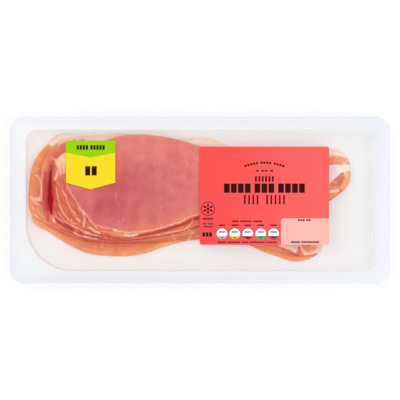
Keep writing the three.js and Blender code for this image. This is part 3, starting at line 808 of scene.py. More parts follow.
def height_on(field, x, y):
    """The field between its cells."""
    gx = np.clip((x - GRID_X[0]) / DRAPE_CELL, 0, len(GRID_X) - 1.001)
    gy = np.clip((y - GRID_Y[0]) / DRAPE_CELL, 0, len(GRID_Y) - 1.001)
    i, j = gx.astype(int), gy.astype(int)
    fx, fy = gx - i, gy - j
    low = field[j, i] * (1 - fx) + field[j, i + 1] * fx
    high = field[j + 1, i] * (1 - fx) + field[j + 1, i + 1] * fx
    return low * (1 - fy) + high * fy


def is_inside(outline, x, y):
    """Whether each point lies within a closed outline."""
    inside = np.zeros(x.shape, bool)
    for a, b in zip(outline, np.roll(outline, -1, 0)):
        if a[1] != b[1]:
            crossing = (b[0] - a[0]) * (y - a[1]) / (b[1] - a[1]) + a[0]
            inside ^= ((a[1] > y) != (b[1] > y)) & (x < crossing)
    return inside


def line_distance(x, y, line):
    """Distance to a line of points, and how far along the line the nearest point lies, 0 to 1."""
    best = np.full(x.shape, np.inf)
    along = np.zeros(x.shape)
    stretches = len(line) - 1
    for k in range(stretches):
        (ax, ay), (bx, by) = line[k], line[k + 1]
        dx, dy = bx - ax, by - ay
        t = np.clip(((x - ax) * dx + (y - ay) * dy) / (dx * dx + dy * dy), 0, 1)
        distance = np.hypot(x - ax - t * dx, y - ay - t * dy)
        nearer = distance < best
        best = np.where(nearer, distance, best)
        along = np.where(nearer, (k + t) / stretches, along)
    return best, along


def line_mask(x, y, fade, widths, line):
    """1 on a line of tapering width and 0 off it, with an edge fade millimetres wide."""
    start, end = widths
    distance, along = line_distance(x, y, line)
    half = (start + (end - start) * along) / 2
    return 1 - ease(-fade / 2, fade / 2, distance - half)


def area_mask(x, y, outline, fade):
    """1 inside a closed outline and 0 outside, with an edge fade millimetres wide."""
    outline = np.array(outline)
    distance, _ = line_distance(x, y, np.concatenate([outline, outline[:1]]))
    return ease(-fade / 2, fade / 2, np.where(is_inside(outline, x, y), distance, -distance))


class Paint:
    """A field of colour over one slice, mixed as the eye sees it, with the fat and the crease's painted
    shade noted.
    """

    def __init__(self, shape, base):
        self.field = np.tile(self.seen(base), (*shape, 1))
        self.fat = np.zeros(shape)
        self.shaded_crease = np.zeros(shape)

    @staticmethod
    def seen(name):
        """A named colour in even steps to the eye."""
        return np.array(getattr(colours(), name)[:3]) ** (1 / SEEN_GAMMA)

    def add(self, name, mask):
        """Lay a named colour over the field where the mask is above 0."""
        self.field += (self.seen(name) - self.field) * mask[..., None]
        if name.startswith("fat"):
            self.fat = np.maximum(self.fat, mask)
        elif name != "lean_red":
            self.fat = self.fat * (1 - mask)
        if name == "shaded_crease":
            self.shaded_crease = np.maximum(self.shaded_crease, mask)


def rasher_paint(level, x, y, u, depth, back, covered):
    """The slice's colour at each point, painted shade beside the rasher above included; covered is the
    distance to the edge of the rasher above.
    """
    anatomy = ANATOMY[level - 1]
    ragged = wobble(x, y, 7, level) * 0.5 + wobble(x, y, 2.6, level + 20) * 0.3
    left, middle, tail = anatomy["rim"]
    share = (u + (1 - np.cos(math.pi * u)) / 2) / 2
    rim_width = np.interp(share, RIM_PLACES, (*RIM_AT_TIP, left, middle, middle, tail))
    if level == 5:
        paint = top_rasher_lean(x, y, depth)
    else:
        paint = Paint(x.shape, "lean_coral")
        warm = anatomy["warm"]
        paint.add("lean_orange", warm * (1 - ease(2, 11, depth + 1.2 * ragged)))
        paint.add("lean_edge", 0.8 * warm * (1 - ease(0, 4.5, depth + 0.8 * ragged)))
    # Fibre bundles run along the edge, and fat and lean in stripes along the streaky tail.
    bundle = np.sin((depth + 0.9 * wobble(x, y, 15, level + 140)) * 2 * math.pi / BUNDLE)
    faint = 0.24 + 0.12 * wobble(x, y, 12, level + 160)
    paint.add("lean_edge", np.clip(bundle, 0, 1) * faint * (level != 5))
    in_tail = ease(anatomy["seam"], anatomy["seam"] + 0.1, u) * ease(7, 9, depth)
    stripe = np.sin(back / STRIPE * math.pi + 1.4 * wobble(x, y, 34, level + 40))
    paint.add("fat_cream", in_tail * ease(0.1, 0.6, stripe + 0.25 * ragged))
    rim = 1 - ease(-0.6, 0.9, back - rim_width - ragged * np.minimum(rim_width, 1.2))
    rim = rim * ease(0.2, 1.4, rim_width)
    paint.add("fat_cream", rim)
    paint.add("fat_peach", 0.25 * rim * (1 - ease(0.2, 1.8, back + 0.5 * ragged)))
    paint.add("fat_white", rim * ease(1.6, 3.4, back + ragged) * 0.8)
    if level > 2:
        paint.add("fat_peach", area_mask(x + 0.4 * ragged, y + 0.4 * ragged, FAT_WEDGE, 0.9))
        paint.add("fat_cream", 0.5 * line_mask(x, y, 1.6, (2.6, 1.6), WEDGE_LIGHT))
        paint.add("lean_rose", 0.5 * line_mask(x, y, 2.0, (2.4, 1.6), WEDGE_LEAN))
    # Red painted shade on the lean beside the edge of the rasher above
    paint.add("lean_red", anatomy["shade"] * (1 - ease(0, 2.0, covered)) * (1 - 0.85 * paint.fat))
    for levels, colour, strength, fade, widths, line in MARKS:
        if level in levels:
            mask = line_mask(x + ragged * 0.4, y + ragged * 0.35, fade, widths, line)
            paint.add(colour, strength * mask)
    return paint


def top_rasher_lean(x, y, depth):
    """The top rasher's eye, deepest left of its middle, and the streaky strands along its left end."""
    paint = Paint(x.shape, "lean_rose")
    spot = 0.1 * wobble(x, y, 13, 7)
    for strength, (at_x, at_y), (wide, high) in EYE_DEPTHS:
        spot = spot + strength * np.exp(-(((x - at_x) / wide) ** 2 + ((y - at_y) / high) ** 2))
    paint.add("lean_deep", np.clip(spot, 0, 1.1))
    paint.add("lean_orange", 0.42 * (1 - ease(1, 11, depth)) * (1 - ease(-8, 6, y)))
    paint.add("lean_edge", 0.3 * (1 - ease(0, 3, depth)))
    eye = area_mask(x, y, EYE_EDGE + EYE_BACK, 0.8)
    across, _ = line_distance(x, y, (*STRAND_LEAD, *EYE_EDGE))
    strand = 0.5 + 0.5 * np.sin((across + 1.1 * wobble(x, y, 11, 9)) * 2 * math.pi / STRAND)
    strand = strand * (0.6 + 0.4 * wobble(x, y, 5, 11))
    paint.add("lean_coral", 1 - eye)
    paint.add("lean_orange", 0.25 * (1 - eye))
    paint.add("lean_edge", (1 - eye) * strand ** 2 * 0.6)
    paint.add("lean_red", (1 - eye) * (1 - strand) ** 2 * 0.4 * (1 - ease(20, 40, x)))
    return paint


def rasher_mesh(level, near, far, outline, above, field):
    """Points, faces and paint of one draped slice with a rounded edge."""
    width = np.maximum(np.linalg.norm(far - near, axis=1), 1e-6)
    squeeze = (np.minimum(1, width / (4 * RASHER_EDGE)) / width)[:, None]
    first = np.array(EDGE_INSETS) * squeeze
    inner = RASHER_EDGE * squeeze + (1 - 2 * RASHER_EDGE * squeeze) * np.linspace(0, 1, RASHER_ROWS)
    share = np.concatenate([first, inner, 1 - first[:, ::-1]], axis=1)
    across = far - near
    x = near[:, :1] + across[:, :1] * share
    y = near[:, 1:] + across[:, 1:] * share
    u = np.broadcast_to(np.arange(RASHER_STEPS + 1)[:, None] / RASHER_STEPS, x.shape)
    depth, _ = line_distance(x, y, np.concatenate([outline, outline[:1]])[::OUTLINE_THIN])
    back, _ = line_distance(x, y, far[::OUTLINE_THIN])
    covered = np.full(x.shape, np.inf)
    if above is not None:
        covered, _ = line_distance(x, y, np.concatenate([above, above[:1]])[::OUTLINE_THIN])
    paint = rasher_paint(level, x, y, u, depth, back, covered)
    rounding = np.clip(depth / RASHER_EDGE, 0, 1)
    rounding[0] = rounding[-1] = 0
    rounding[:, 0] = rounding[:, -1] = 0
    half = RASHER / 2 * np.sqrt(1 - (1 - rounding) ** 2)
    wave = sizes().rasher_wave / MM * wobble(x, y, 30, level + 120)
    curl = END_CURL * ease(-END_CURL_FROM, -END_CURL_TO, -x)
    middle = height_on(field, x, y) + RASHER / 2 + curl + wave / 2
    relief = (FAT_RELIEF * paint.fat - CREASE_RELIEF * paint.shaded_crease) * rounding
    top = np.stack([x, y, middle + half + relief], axis=2)
    low = np.stack([x, y, middle - half - TOUCH * rounding], axis=2)
    return rasher_topology(top, low, paint)


def rasher_topology(top, low, paint):
    """Joins the upper and lower faces of a slice along its rim and at its two tips."""
    rows, columns = top.shape[:2]
    top_id = np.arange(rows * columns).reshape(rows, columns)
    top_id[0] = top_id[0, 0]
    top_id[-1] = top_id[-1, 0]
    low_id = top_id + rows * columns
    low_id[0], low_id[-1] = top_id[0], top_id[-1]
    low_id[:, 0], low_id[:, -1] = top_id[:, 0], top_id[:, -1]
    faces = []
    for grid, step in ((top_id, 1), (low_id, -1)):
        a, b, c, d = grid[:-1, :-1], grid[1:, :-1], grid[1:, 1:], grid[:-1, 1:]
        quads = np.stack([a, b, c, d][::step], axis=2).reshape(-1, 4)
        faces.append(quads)
    faces = np.concatenate(faces)
    used, flat = np.unique(faces, return_inverse=True)
    faces = flat.reshape(-1, 4)
    points = np.concatenate([top.reshape(-1, 3), low.reshape(-1, 3)])[used]
    meat = np.concatenate([paint.field.reshape(-1, 3)] * 2)[used] ** SEEN_GAMMA
    fat = np.concatenate([paint.fat.ravel()] * 2)[used]
    polygons = []
    for face in faces.tolist():
        corners = list(dict.fromkeys(face))
        if len(corners) > 2:
            polygons.append(corners)
    return points, polygons, meat, fat


# Materials

def add_node(tree, kind, inputs=None, **settings):
    """Add one node, set its properties, and fill its inputs with values or links. An input is given by its
    name, or by its number where the node has that name more than once."""
    node = tree.nodes.new(kind)
    for name, value in settings.items():
        setattr(node, name, value)
    for name, value in (inputs or {}).items():
        if isinstance(value, bpy.types.NodeSocket):
            tree.links.new(value, node.inputs[name])
        else:
            node.inputs[name].default_value = value
    return node


def new_material(name):
    """An empty node material and its output node."""
    material = bpy.data.materials.new(name)
    material.use_nodes = True
    material.node_tree.nodes.clear()
    return material, material.node_tree, add_node(material.node_tree, "ShaderNodeOutputMaterial")


def rgba(colour):
    """The colour with full opacity, as a node's socket takes it."""
    return (*colour[:3], 1.0)


def ramp(node, stops):
    """Set a colour ramp's stops, each a place and a colour."""
    elements = node.color_ramp.elements
    while len(elements) < len(stops):
        elements.new(0.5)
    for element, (place, colour) in zip(elements, stops):
        element.position = place
        element.color = rgba(colour)
    return node


def cured_pork_sliced():
    """Cured pork, cut wet: a pink lean grain with pale fat in it, under a thin film of brine that gives
    it soft highlights."""
    material, tree, output = new_material("cured_pork_sliced")
    place = add_node(tree, "ShaderNodeTexCoord").outputs["Object"]
    meat = add_node(tree, "ShaderNodeAttribute", attribute_name="meat").outputs["Color"]
    fat = add_node(tree, "ShaderNodeAttribute", attribute_name="fat").outputs["Fac"]
    # Lean is blotchy at 9 mm, and its fibre bundles are some 1.4 mm wide and 7 mm long where they show.
    blotch = add_node(tree, "ShaderNodeTexNoise", {"Vector": place, "Scale": 1 / (9 * MM), "Detail": 3})
    turned = add_node(
        tree, "ShaderNodeMapping",
        {"Vector": place, "Rotation": (0, 0, math.radians(66)), "Scale": (7 * MM, 1.4 * MM, 3 * MM)},
        vector_type="TEXTURE",
    )
    grain = add_node(tree, "ShaderNodeTexNoise", {"Vector": turned.outputs[0], "Scale": 1, "Detail": 2})
    mottle = ramp(
        add_node(tree, "ShaderNodeValToRGB", {"Fac": blotch.outputs["Fac"]}),
        ((0.3, (0.86, 0.76, 0.77)), (0.7, (1.0, 1.0, 1.0))),
    )
    streak = ramp(
        add_node(tree, "ShaderNodeValToRGB", {"Fac": grain.outputs["Fac"]}),
        ((0.3, (0.93, 0.84, 0.84)), (0.7, (1.0, 1.0, 1.0))),
    )
    lean_only = add_node(tree, "ShaderNodeMapRange", {"Value": fat, "To Min": 1.0, "To Max": 0.25})
    blotched = add_node(
        tree, "ShaderNodeMix", {0: lean_only.outputs[0], 6: meat, 7: mottle.outputs[0]},
        data_type="RGBA", blend_type="MULTIPLY",
    )
    fibrous = add_node(
        tree, "ShaderNodeMix", {0: lean_only.outputs[0], 6: blotched.outputs[2], 7: streak.outputs[0]},
        data_type="RGBA", blend_type="MULTIPLY",
    )
    relief = add_node(
        tree, "ShaderNodeBump", {"Height": grain.outputs["Fac"], "Strength": 0.3, "Distance": 0.12 * MM}
    )
    # The deep hollow is dark because no sky reaches it, so its gloss goes with the green of its colour.
    parts = add_node(tree, "ShaderNodeSeparateColor", {"Color": meat})
    sheen = add_node(
        tree, "ShaderNodeMapRange",
        {"Value": parts.outputs["Green"], "From Max": 0.08, "To Min": 0.02, "To Max": 0.22},
    )
    shine = add_node(
        tree, "ShaderNodeMapRange",
        {"Value": blotch.outputs["Fac"], "From Min": 0.3, "From Max": 0.7, "To Min": 0.28, "To Max": 0.42},
    )
    shader = add_node(
        tree, "ShaderNodeBsdfPrincipled",
        {
            "Base Color": fibrous.outputs[2],
            "Roughness": shine.outputs[0],
            "Normal": relief.outputs[0],
            "IOR": 1.38,
            "Specular IOR Level": sheen.outputs[0],
            "Subsurface Weight": 0.55,
            "Subsurface Radius": (1.0, 0.3, 0.2),
            "Subsurface Scale": 1.6 * MM,
        },
    )
    tree.links.new(shader.outputs[0], output.inputs["Surface"])
    return material


def clear_sheet(name, colours_of_sheet, opacities, roughness, ripple):
    """Clear plastic sheet: mostly seen through, with an uneven gloss from its ripple, whose humps lie that
    far apart. Its colour and opacity run from the first to the second value with the mesh's tint."""
    material, tree, output = new_material(name)
    place = add_node(tree, "ShaderNodeTexCoord").outputs["Object"]
    share = add_node(tree, "ShaderNodeAttribute", attribute_name="tint").outputs["Fac"]
    plain, tinted = (rgba(colour) for colour in colours_of_sheet)
    shown = add_node(tree, "ShaderNodeMix", {0: share, 6: plain, 7: tinted}, data_type="RGBA")
    alpha = add_node(
        tree, "ShaderNodeMapRange", {"Value": share, "To Min": opacities[0], "To Max": opacities[1]}
    )
    slow = add_node(tree, "ShaderNodeTexNoise", {"Vector": place, "Scale": 1 / ripple, "Detail": 1})
    haze = add_node(tree, "ShaderNodeMapRange", {
        "Value": slow.outputs["Fac"], "From Min": 0.3, "From Max": 0.7,
        "To Min": roughness, "To Max": roughness + 0.06,
    })
    relief = add_node(
        tree, "ShaderNodeBump", {"Height": slow.outputs["Fac"], "Strength": 0.3, "Distance": 0.1 * MM}
    )
    shader = add_node(
        tree, "ShaderNodeBsdfPrincipled",
        {
            "Base Color": shown.outputs[2],
            "Roughness": haze.outputs[0],
            "Normal": relief.outputs[0],
            "IOR": 1.57,
            "Alpha": alpha.outputs[0],
        },
    )
    tree.links.new(shader.outputs[0], output.inputs["Surface"])
    return material


def apet_sheet_flange():
    """APET sheet left at its full thickness in the flange: milky and faintly blue, greyer at its rim, and
    greyer towards its right end as painted shade.
    """
    c = colours()
    return clear_sheet("apet_sheet_flange", (c.flange, c.flange_rim), (0.3, 0.32), 0.12, 12 * MM)


def apet_sheet_drawn():
    """APET sheet drawn thin into the mould: clearer than the flange, with ripples some 12 mm apart, a
    little grey, and pink where the meat lies close, a painted reflection of the meat."""
    c = colours()
    return clear_sheet("apet_sheet_drawn", (c.hollow, c.meat_reflection), (0.065, 0.13), 0.1, 12 * MM)


def apet_sheet_wall():
    """APET sheet of the steep wall: from above it is seen edge on, as a faint line that carries a painted
    reflection of the meat's colour, stronger towards the front and the left."""
    c = colours()
    return clear_sheet("apet_sheet_wall", (c.flange, c.meat_reflection), (0.08, 0.34), 0.1, 12 * MM)


def polyester_film_sealed():
    """Lidding film pulled taut and heat sealed: clearer than the tray, with ripples some 25 mm apart."""
    c = colours()
    return clear_sheet("polyester_film_sealed", (c.film, c.film), (0.01, 0.01), 0.06, 25 * MM)


def label_paper_varnished():
    """Coated paper printed and varnished: an even coral field, made a little paler to the right by a
    painted sheen, satin.
    """
    material, tree, output = new_material("label_paper_varnished")
    place = add_node(tree, "ShaderNodeTexCoord").outputs["Object"]
    spot = add_node(tree, "ShaderNodeSeparateXYZ", {"Vector": place})
    across = add_node(
        tree, "ShaderNodeMapRange",
        {"Value": spot.outputs["X"], "From Min": LABEL_LOW.x, "From Max": LABEL_HIGH.x},
        interpolation_type="SMOOTHSTEP",
    )
    # Painted sheen: the coral field turns paler towards the right
    field = add_node(
        tree, "ShaderNodeMix",
        {0: across.outputs[0], 6: rgba(colours().label_left), 7: rgba(colours().label_right_with_sheen)},
        data_type="RGBA",
    )
    return paper_finish(material, tree, output, field.outputs[2])


def paper_finish(material, tree, output, base):
    """Varnished paper over a colour: the fibre shows as a faint unevenness. It is drawn 0.4 mm across,
    because at its true 0.03 mm it would not show."""
    place = add_node(tree, "ShaderNodeTexCoord").outputs["Object"]
    fibre = add_node(tree, "ShaderNodeTexNoise", {"Vector": place, "Scale": 1 / (0.4 * MM), "Detail": 2})
    satin = add_node(
        tree, "ShaderNodeMapRange", {"Value": fibre.outputs["Fac"], "To Min": 0.36, "To Max": 0.46}
    )
    relief = add_node(
        tree, "ShaderNodeBump", {"Height": fibre.outputs["Fac"], "Strength": 0.15, "Distance": 0.02 * MM}
    )
    shader = add_node(
        tree, "ShaderNodeBsdfPrincipled",
        {
            "Base Color": base,
            "Roughness": satin.outputs[0],
            "Normal": relief.outputs[0],
            "IOR": 1.45,
            "Specular IOR Level": 0.05,
        },
    )
    tree.links.new(shader.outputs[0], output.inputs["Surface"])
    return material


def printed_ink(name, colour):
    """Offset ink under varnish: one colour with the faint mottle, some 0.8 mm across, of coated paper."""
    material, tree, output = new_material(name)
    place = add_node(tree, "ShaderNodeTexCoord").outputs["Object"]
    mottle = add_node(tree, "ShaderNodeTexNoise", {"Vector": place, "Scale": 1 / (0.8 * MM), "Detail": 2})
    shade = tuple(channel * 0.92 for channel in colour[:3])
    field = add_node(
        tree, "ShaderNodeMix", {0: mottle.outputs["Fac"], 6: rgba(shade), 7: rgba(colour)}, data_type="RGBA"
    )
    return paper_finish(material, tree, output, field.outputs[2])


def light_table_opal_acrylic(glow):
    """Cast opal acrylic, frosted and lit from beneath: shadows on it stay weak. It is faintly cloudy, with
    clouds some 60 mm across."""
    material, tree, output = new_material("light_table_opal_acrylic")
    place = add_node(tree, "ShaderNodeTexCoord").outputs["Object"]
    cloud = add_node(tree, "ShaderNodeTexNoise", {"Vector": place, "Scale": 1 / (60 * MM)})
    tint = ramp(
        add_node(tree, "ShaderNodeValToRGB", {"Fac": cloud.outputs["Fac"]}),
        ((0.0, linear("c8c8c8")), (1.0, linear("cccccc"))),
    )
    shader = add_node(
        tree, "ShaderNodeBsdfPrincipled",
        {"Base Color": tint.outputs[0], "Roughness": 0.9, "IOR": 1.49, "Emission Strength": glow},
    )
    tree.links.new(shader.outputs[0], output.inputs["Surface"])
    return material


# Operators

class PACK_OT_tray(bpy.types.Operator):
    """Form the clear tray"""

    bl_idname = "bacon_pack.tray"
    bl_label = "Tray"

    def execute(self, context):
        sheet = sizes().tray_sheet / MM
        underside = FLANGE_TOP - sheet
        floor = np.arange(FLOOR_STEP, MOUTH_WIDTH / 2 - 1, FLOOR_STEP)
        loops = [
            *(at_height(mouth_loop(inset), 0) for inset in floor[::-1]),
            *fillet_loops(FLOOR_FILLET + sheet, WALL_LEAN - sheet, 0, 1),
            *flange_rings(mouth_loop(-sheet), flange_loop(RIM_CURL), underside),
            at_height(flange_loop(sheet), underside - RIM_DROP),
            at_height(flange_loop(0), underside - RIM_DROP),
            at_height(flange_loop(0), underside),
            *flange_rings(flange_loop(RIM_CURL), mouth_loop(-MOUTH_FILLET), FLANGE_TOP),
            *fillet_loops(MOUTH_FILLET, 0, FLANGE_TOP, -1)[1:],
            *fillet_loops(FLOOR_FILLET, WALL_LEAN, sheet, 1)[::-1],
            *(at_height(mouth_loop(inset), sheet) for inset in floor),
        ]
        points, faces = lofted((0, MOUTH_CENTRE_Y, 0), loops, (0, MOUTH_CENTRE_Y, sheet))
        piece = new_piece("tray_sheet", points, faces, apet_sheet_drawn(), "tray")
        piece.data.materials.append(apet_sheet_flange())
        piece.data.materials.append(apet_sheet_wall())
        centres = np.array([polygon.center for polygon in piece.data.polygons]) / MM
        level = centres[:, 2] > FLANGE_FROM
        outside = ~is_inside(mouth_loop(0), centres[:, 0], centres[:, 1]) & level
        steep = ~outside & (centres[:, 2] > FLOOR_FILLET)
        piece.data.polygons.foreach_set("material_index", outside + 2 * steep)
        add_tint(piece, sheet_tint(points))
        return {"FINISHED"}


def flange_rings(start, end, z):
    """Level loops from one outline to another, near enough together to carry the flange's tint."""
    shares = np.linspace(0, 1, FLANGE_STEPS + 1)
    return [at_height(np.array(start) * (1 - share) + np.array(end) * share, z) for share in shares]


def add_tint(piece, values):
    """Give a clear sheet's points the tint that its materials read."""
    piece.data.attributes.new("tint", "FLOAT", "POINT").data.foreach_set("value", values)


def sheet_tint(points):
    """The tray's tint: grey by the flange's rim, and towards its right end as painted shade, and a painted
    reflection of the meat's pink in the hollow, near the meat and up the wall."""
    x, y, z = points.T
    near = np.full(len(points), np.inf)
    for shape in RASHERS:
        outline = closed_curve(shape["front"] + shape["back"])[::OUTLINE_THIN * 2]
        distance, _ = line_distance(x, y, np.concatenate([outline, outline[:1]]))
        near = np.minimum(near, np.where(is_inside(outline, x, y), 0, distance))
    edge = np.minimum(PACK_LENGTH / 2 - np.abs(x), PACK_WIDTH / 2 - np.abs(y))
    # Painted reflection of the meat's pink on the sheet near the meat and up the wall
    meat_reflection = MEAT_REFLECTION * np.exp(-near / MEAT_REFLECTION_REACH) * (1 - ease(*MEAT_REFLECTION_FADES, x))
    wall = WALL_TINT + WALL_TINT_SLOPES[0] * x + WALL_TINT_SLOPES[1] * y
    meat_reflection = np.maximum(np.where(z > FLOOR_FILLET, wall, 0), meat_reflection)
    at_mouth = is_inside(mouth_loop(-MOUTH_FILLET / 2), x, y)
    # The flange is greyer by the rim, and greyer towards the right end as painted shade
    greyer = np.maximum(1 - ease(0, RIM_SHADE_REACH, edge), END_SHADE * ease(*END_SHADE_GROWS, x))
    return np.where((z > FLANGE_FROM) & ~at_mouth, greyer, meat_reflection)


class PACK_OT_rashers(bpy.types.Operator):
    """Lay the five rashers over one another"""

    bl_idname = "bacon_pack.rashers"
    bl_label = "Rashers"

    def execute(self, context):
        material = cured_pork_sliced()
        x, y = np.meshgrid(GRID_X, GRID_Y)
        stack = np.full(x.shape, LOWEST_REST)
        edges = [edge_rows(shape) for shape in RASHERS]
        outlines = [outline for _, _, outline in edges] + [None]
        for level, (near, far, outline) in enumerate(edges, start=1):
            rest = draped_over(stack)
            points, faces, meat, fat = rasher_mesh(level, near, far, outline, outlines[level], rest)
            piece = new_piece(f"bacon_rasher_{level}", points, faces, material, f"rasher_{level}")
            colour = piece.data.attributes.new("meat", "FLOAT_COLOR", "POINT")
            colour.data.foreach_set("color", np.column_stack([meat, np.ones(len(meat))]).ravel())
            piece.data.attributes.new("fat", "FLOAT", "POINT").data.foreach_set("value", fat)
            stack = np.where(is_inside(outline, x, y), rest + RASHER + RASHER_GAP, stack)
        return {"FINISHED"}


class PACK_OT_film(bpy.types.Operator):
    """Seal the lid film over the tray"""

    bl_idname = "bacon_pack.film"
    bl_label = "Lid film"

    def execute(self, context):
        loops = [mouth_loop(inset) for inset in FILM_INSETS]
        loops += [flange_loop(inset) for inset in FILM_RIM_INSETS]
        thickness = sizes().film_sheet / MM
        points, faces = film_sheet(loops, (0, MOUTH_CENTRE_Y), 0, thickness)
        piece = new_piece("lid_film_sheet", points, faces, polyester_film_sealed(), "lid_film")
        add_tint(piece, np.zeros(len(points)))
        return {"FINISHED"}


def print_body(shapes, low, high):
    """Points and faces of thin shapes printed on the film, each given as two facing rows of points. A row
    that ends where it starts makes a ring. Steps between the rows let the shape follow the film."""
    points, faces = [], []
    for near, far in shapes:
        closed = np.allclose(near[0], near[-1])
        steps = max(1, round(np.linalg.norm(far - near, axis=1).max() / PRINT_CELL))
        rows = near[None] + (far - near)[None] * np.linspace(0, 1, steps + 1)[:, None, None]
        height = film_height(rows[..., 0], rows[..., 1])
        sheets = [np.concatenate([rows, height[..., None] + lift], axis=2) for lift in (low, high)]
        start = sum(map(len, points))
        points += [sheet.reshape(-1, 3) for sheet in sheets]
        below, above = start + np.arange(2 * height.size).reshape(2, *height.shape)
        if closed:
            below[:, -1], above[:, -1] = below[:, 0], above[:, 0]
        cells = [quads(above[:-1, :-1], above[:-1, 1:], above[1:, 1:], above[1:, :-1])]
        cells.append(quads(below[:-1, :-1], below[1:, :-1], below[1:, 1:], below[:-1, 1:]))
        cells.append(quads(below[0, :-1], below[0, 1:], above[0, 1:], above[0, :-1]))
        cells.append(quads(below[-1, 1:], below[-1, :-1], above[-1, :-1], above[-1, 1:]))
        if not closed:
            cells.append(quads(below[1:, 0], below[:-1, 0], above[:-1, 0], above[1:, 0]))
            cells.append(quads(below[:-1, -1], below[1:, -1], above[1:, -1], above[:-1, -1]))
        faces += np.concatenate(cells).tolist()
    used, flat = np.unique(np.array(faces), return_inverse=True)
    return np.concatenate(points)[used], flat.reshape(-1, 4).tolist()


def quads(*corners):
    """Faces from four grids of point numbers."""
    return np.stack([corner.ravel() for corner in corners], axis=1)


def bar(x, y, length, height):
    """Straight bar as its lower and upper rows of points."""
    share = np.linspace(-0.5, 0.5, max(2, round(length / PRINT_CELL)) + 1)
    near = np.column_stack([x + length * share, np.full_like(share, y - height / 2)])
    return near, near + (0, height)


def disc(x, y, radius, top=1.0):
    """Disc as rows along its lower and upper arcs, cut off level at a share top of its radius."""
    half = DISC_TIP * radius * math.sqrt(1 - min(top, 0) ** 2)
    across = half * np.cos(np.linspace(math.pi, 0, DISC_STEPS))
    rise = np.sqrt(radius ** 2 - across ** 2)
    return (
        np.column_stack([x + across, y - rise]),
        np.column_stack([x + across, y + np.minimum(rise, top * radius)]),
    )


def ring(x, y, radius, width):
    """Ring as its outer and inner circles of points."""
    turn = np.linspace(0, 2 * math.pi, 2 * DISC_STEPS + 1)
    spokes = np.column_stack([np.cos(turn), np.sin(turn)])
    return (x, y) + spokes * radius, (x, y) + spokes * (radius - width)


def spoke(x, y, angle, inner, outer, width):
    """Short round-ended petal that points away from x, y."""
    along = np.linspace(inner, outer, PETAL_STEPS)
    half = width / 2 * np.sqrt(np.sin(np.linspace(0.1, 0.9, PETAL_STEPS) * math.pi))
    out = np.array([math.cos(angle), math.sin(angle)])
    side = np.array([-out[1], out[0]])
    middle = (x, y) + along[:, None] * out
    return middle - half[:, None] * side, middle + half[:, None] * side


def block_row(x, y, counts, width, gap, height, bend=0.0):
    """A row of plain blocks in groups, centred on x, in the place and weight of a line of print."""
    total = sum(counts) * width + (sum(counts) - len(counts)) * gap + (len(counts) - 1) * 3 * gap
    shapes = []
    spot = -total / 2
    for count in counts:
        for _ in range(count):
            middle = spot + width / 2
            shapes.append(bar(x + middle, y - bend * (2 * middle / total) ** 2, width, height))
            spot += width + gap
        spot += 2 * gap
    return shapes


def printed(name, shapes, centre, layer, colour):
    """One ink's shapes, given round the paper's centre; a higher layer lies over a lower one."""
    paper_top = sizes().film_sheet / MM + PAPER_LIFT + sizes().paper / MM
    placed = [(near + centre, far + centre) for near, far in shapes]
    points, faces = print_body(placed, paper_top, paper_top + layer * sizes().ink / MM)
    return new_piece(name, points, faces, printed_ink(name, colour))


class PACK_OT_label(bpy.types.Operator):
    """Stick the label on the film"""

    bl_idname = "bacon_pack.label"
    bl_label = "Label"

    def execute(self, context):
        corner = (LABEL_CORNER, CORNER_STEPS)
        outline = rounded_loop(*LABEL_SIZE, LABEL_CENTRE, [corner] * 4)
        lift = sizes().film_sheet / MM + PAPER_LIFT
        loops = scaled_loops(outline, LABEL_CENTRE, LABEL_RINGS)
        points, faces = film_sheet(loops, LABEL_CENTRE, lift, sizes().paper / MM)
        new_piece("label_sheet", points, faces, label_paper_varnished(), "label")
        return {"FINISHED"}


def date_box(x, y, length, height):
    """Field for a date: round at its upper left, and at its lower right, where it ends with the paper."""
    along = LABEL_CORNER * (1 - np.cos(np.linspace(0, math.pi / 2, DISC_STEPS)))
    drop = LABEL_CORNER - np.sqrt(LABEL_CORNER ** 2 - (LABEL_CORNER - along) ** 2)
    straight = np.linspace(LABEL_CORNER, length - LABEL_CORNER, round(length / PRINT_CELL))[1:-1]
    across = x - length / 2 + np.concatenate([along, straight, length - along[::-1]])
    plain = np.zeros(len(straight) + len(along))
    near = np.column_stack([across, y - height / 2 + np.concatenate([plain, drop[::-1]])])
    far = np.column_stack([across, y + height / 2 - np.concatenate([drop, plain])])
    return near, far


class PACK_OT_label_print(bpy.types.Operator):
    """Print the label: plain blocks in place of words, a ring, five discs and a date box"""

    bl_idname = "bacon_pack.label_print"
    bl_label = "Label print"

    def execute(self, context):
        c = colours()
        inks = {
            "date_box": ([date_box(DATE_BOX_X, DATE_BOX_Y, *DATE_BOX)], 1, c.date_box),
            "disc_white": ([disc(x, DISC_Y, DISC_RADIUS) for x in DISCS_X], 1, c.disc_white),
        }
        for name in ("grey", "amber", "crimson", "green"):
            tinted = [disc(x, DISC_Y, *DISC_TINT) for x, ink in zip(DISCS_X, DISC_INKS) if ink == name]
            inks[f"disc_{name}"] = (tinted, 2, getattr(c, f"disc_{name}"))
        dark = [shape for row in LABEL_ROWS for shape in block_row(*row)]
        dark += [ring(*ROUND_MARK, *ROUND_MARK_RING), disc(*ROUND_MARK, ROUND_MARK_CORE)]
        dark += [spoke(*ROUND_MARK, (turn + 0.5) * 2 * math.pi / PETALS, *PETAL) for turn in range(PETALS)]
        for x in DISCS_X:
            dark += [bar(x, *place_and_size) for place_and_size in DISC_BARS]
            dark.append(ring(x, DISC_Y, *DISC_RING))
        inks["dark"] = (dark, 3, c.ink_brown)
        for name, (shapes, layer, colour) in inks.items():
            printed(f"label_print_{name}", shapes, LABEL_CENTRE, layer, colour)
        return {"FINISHED"}


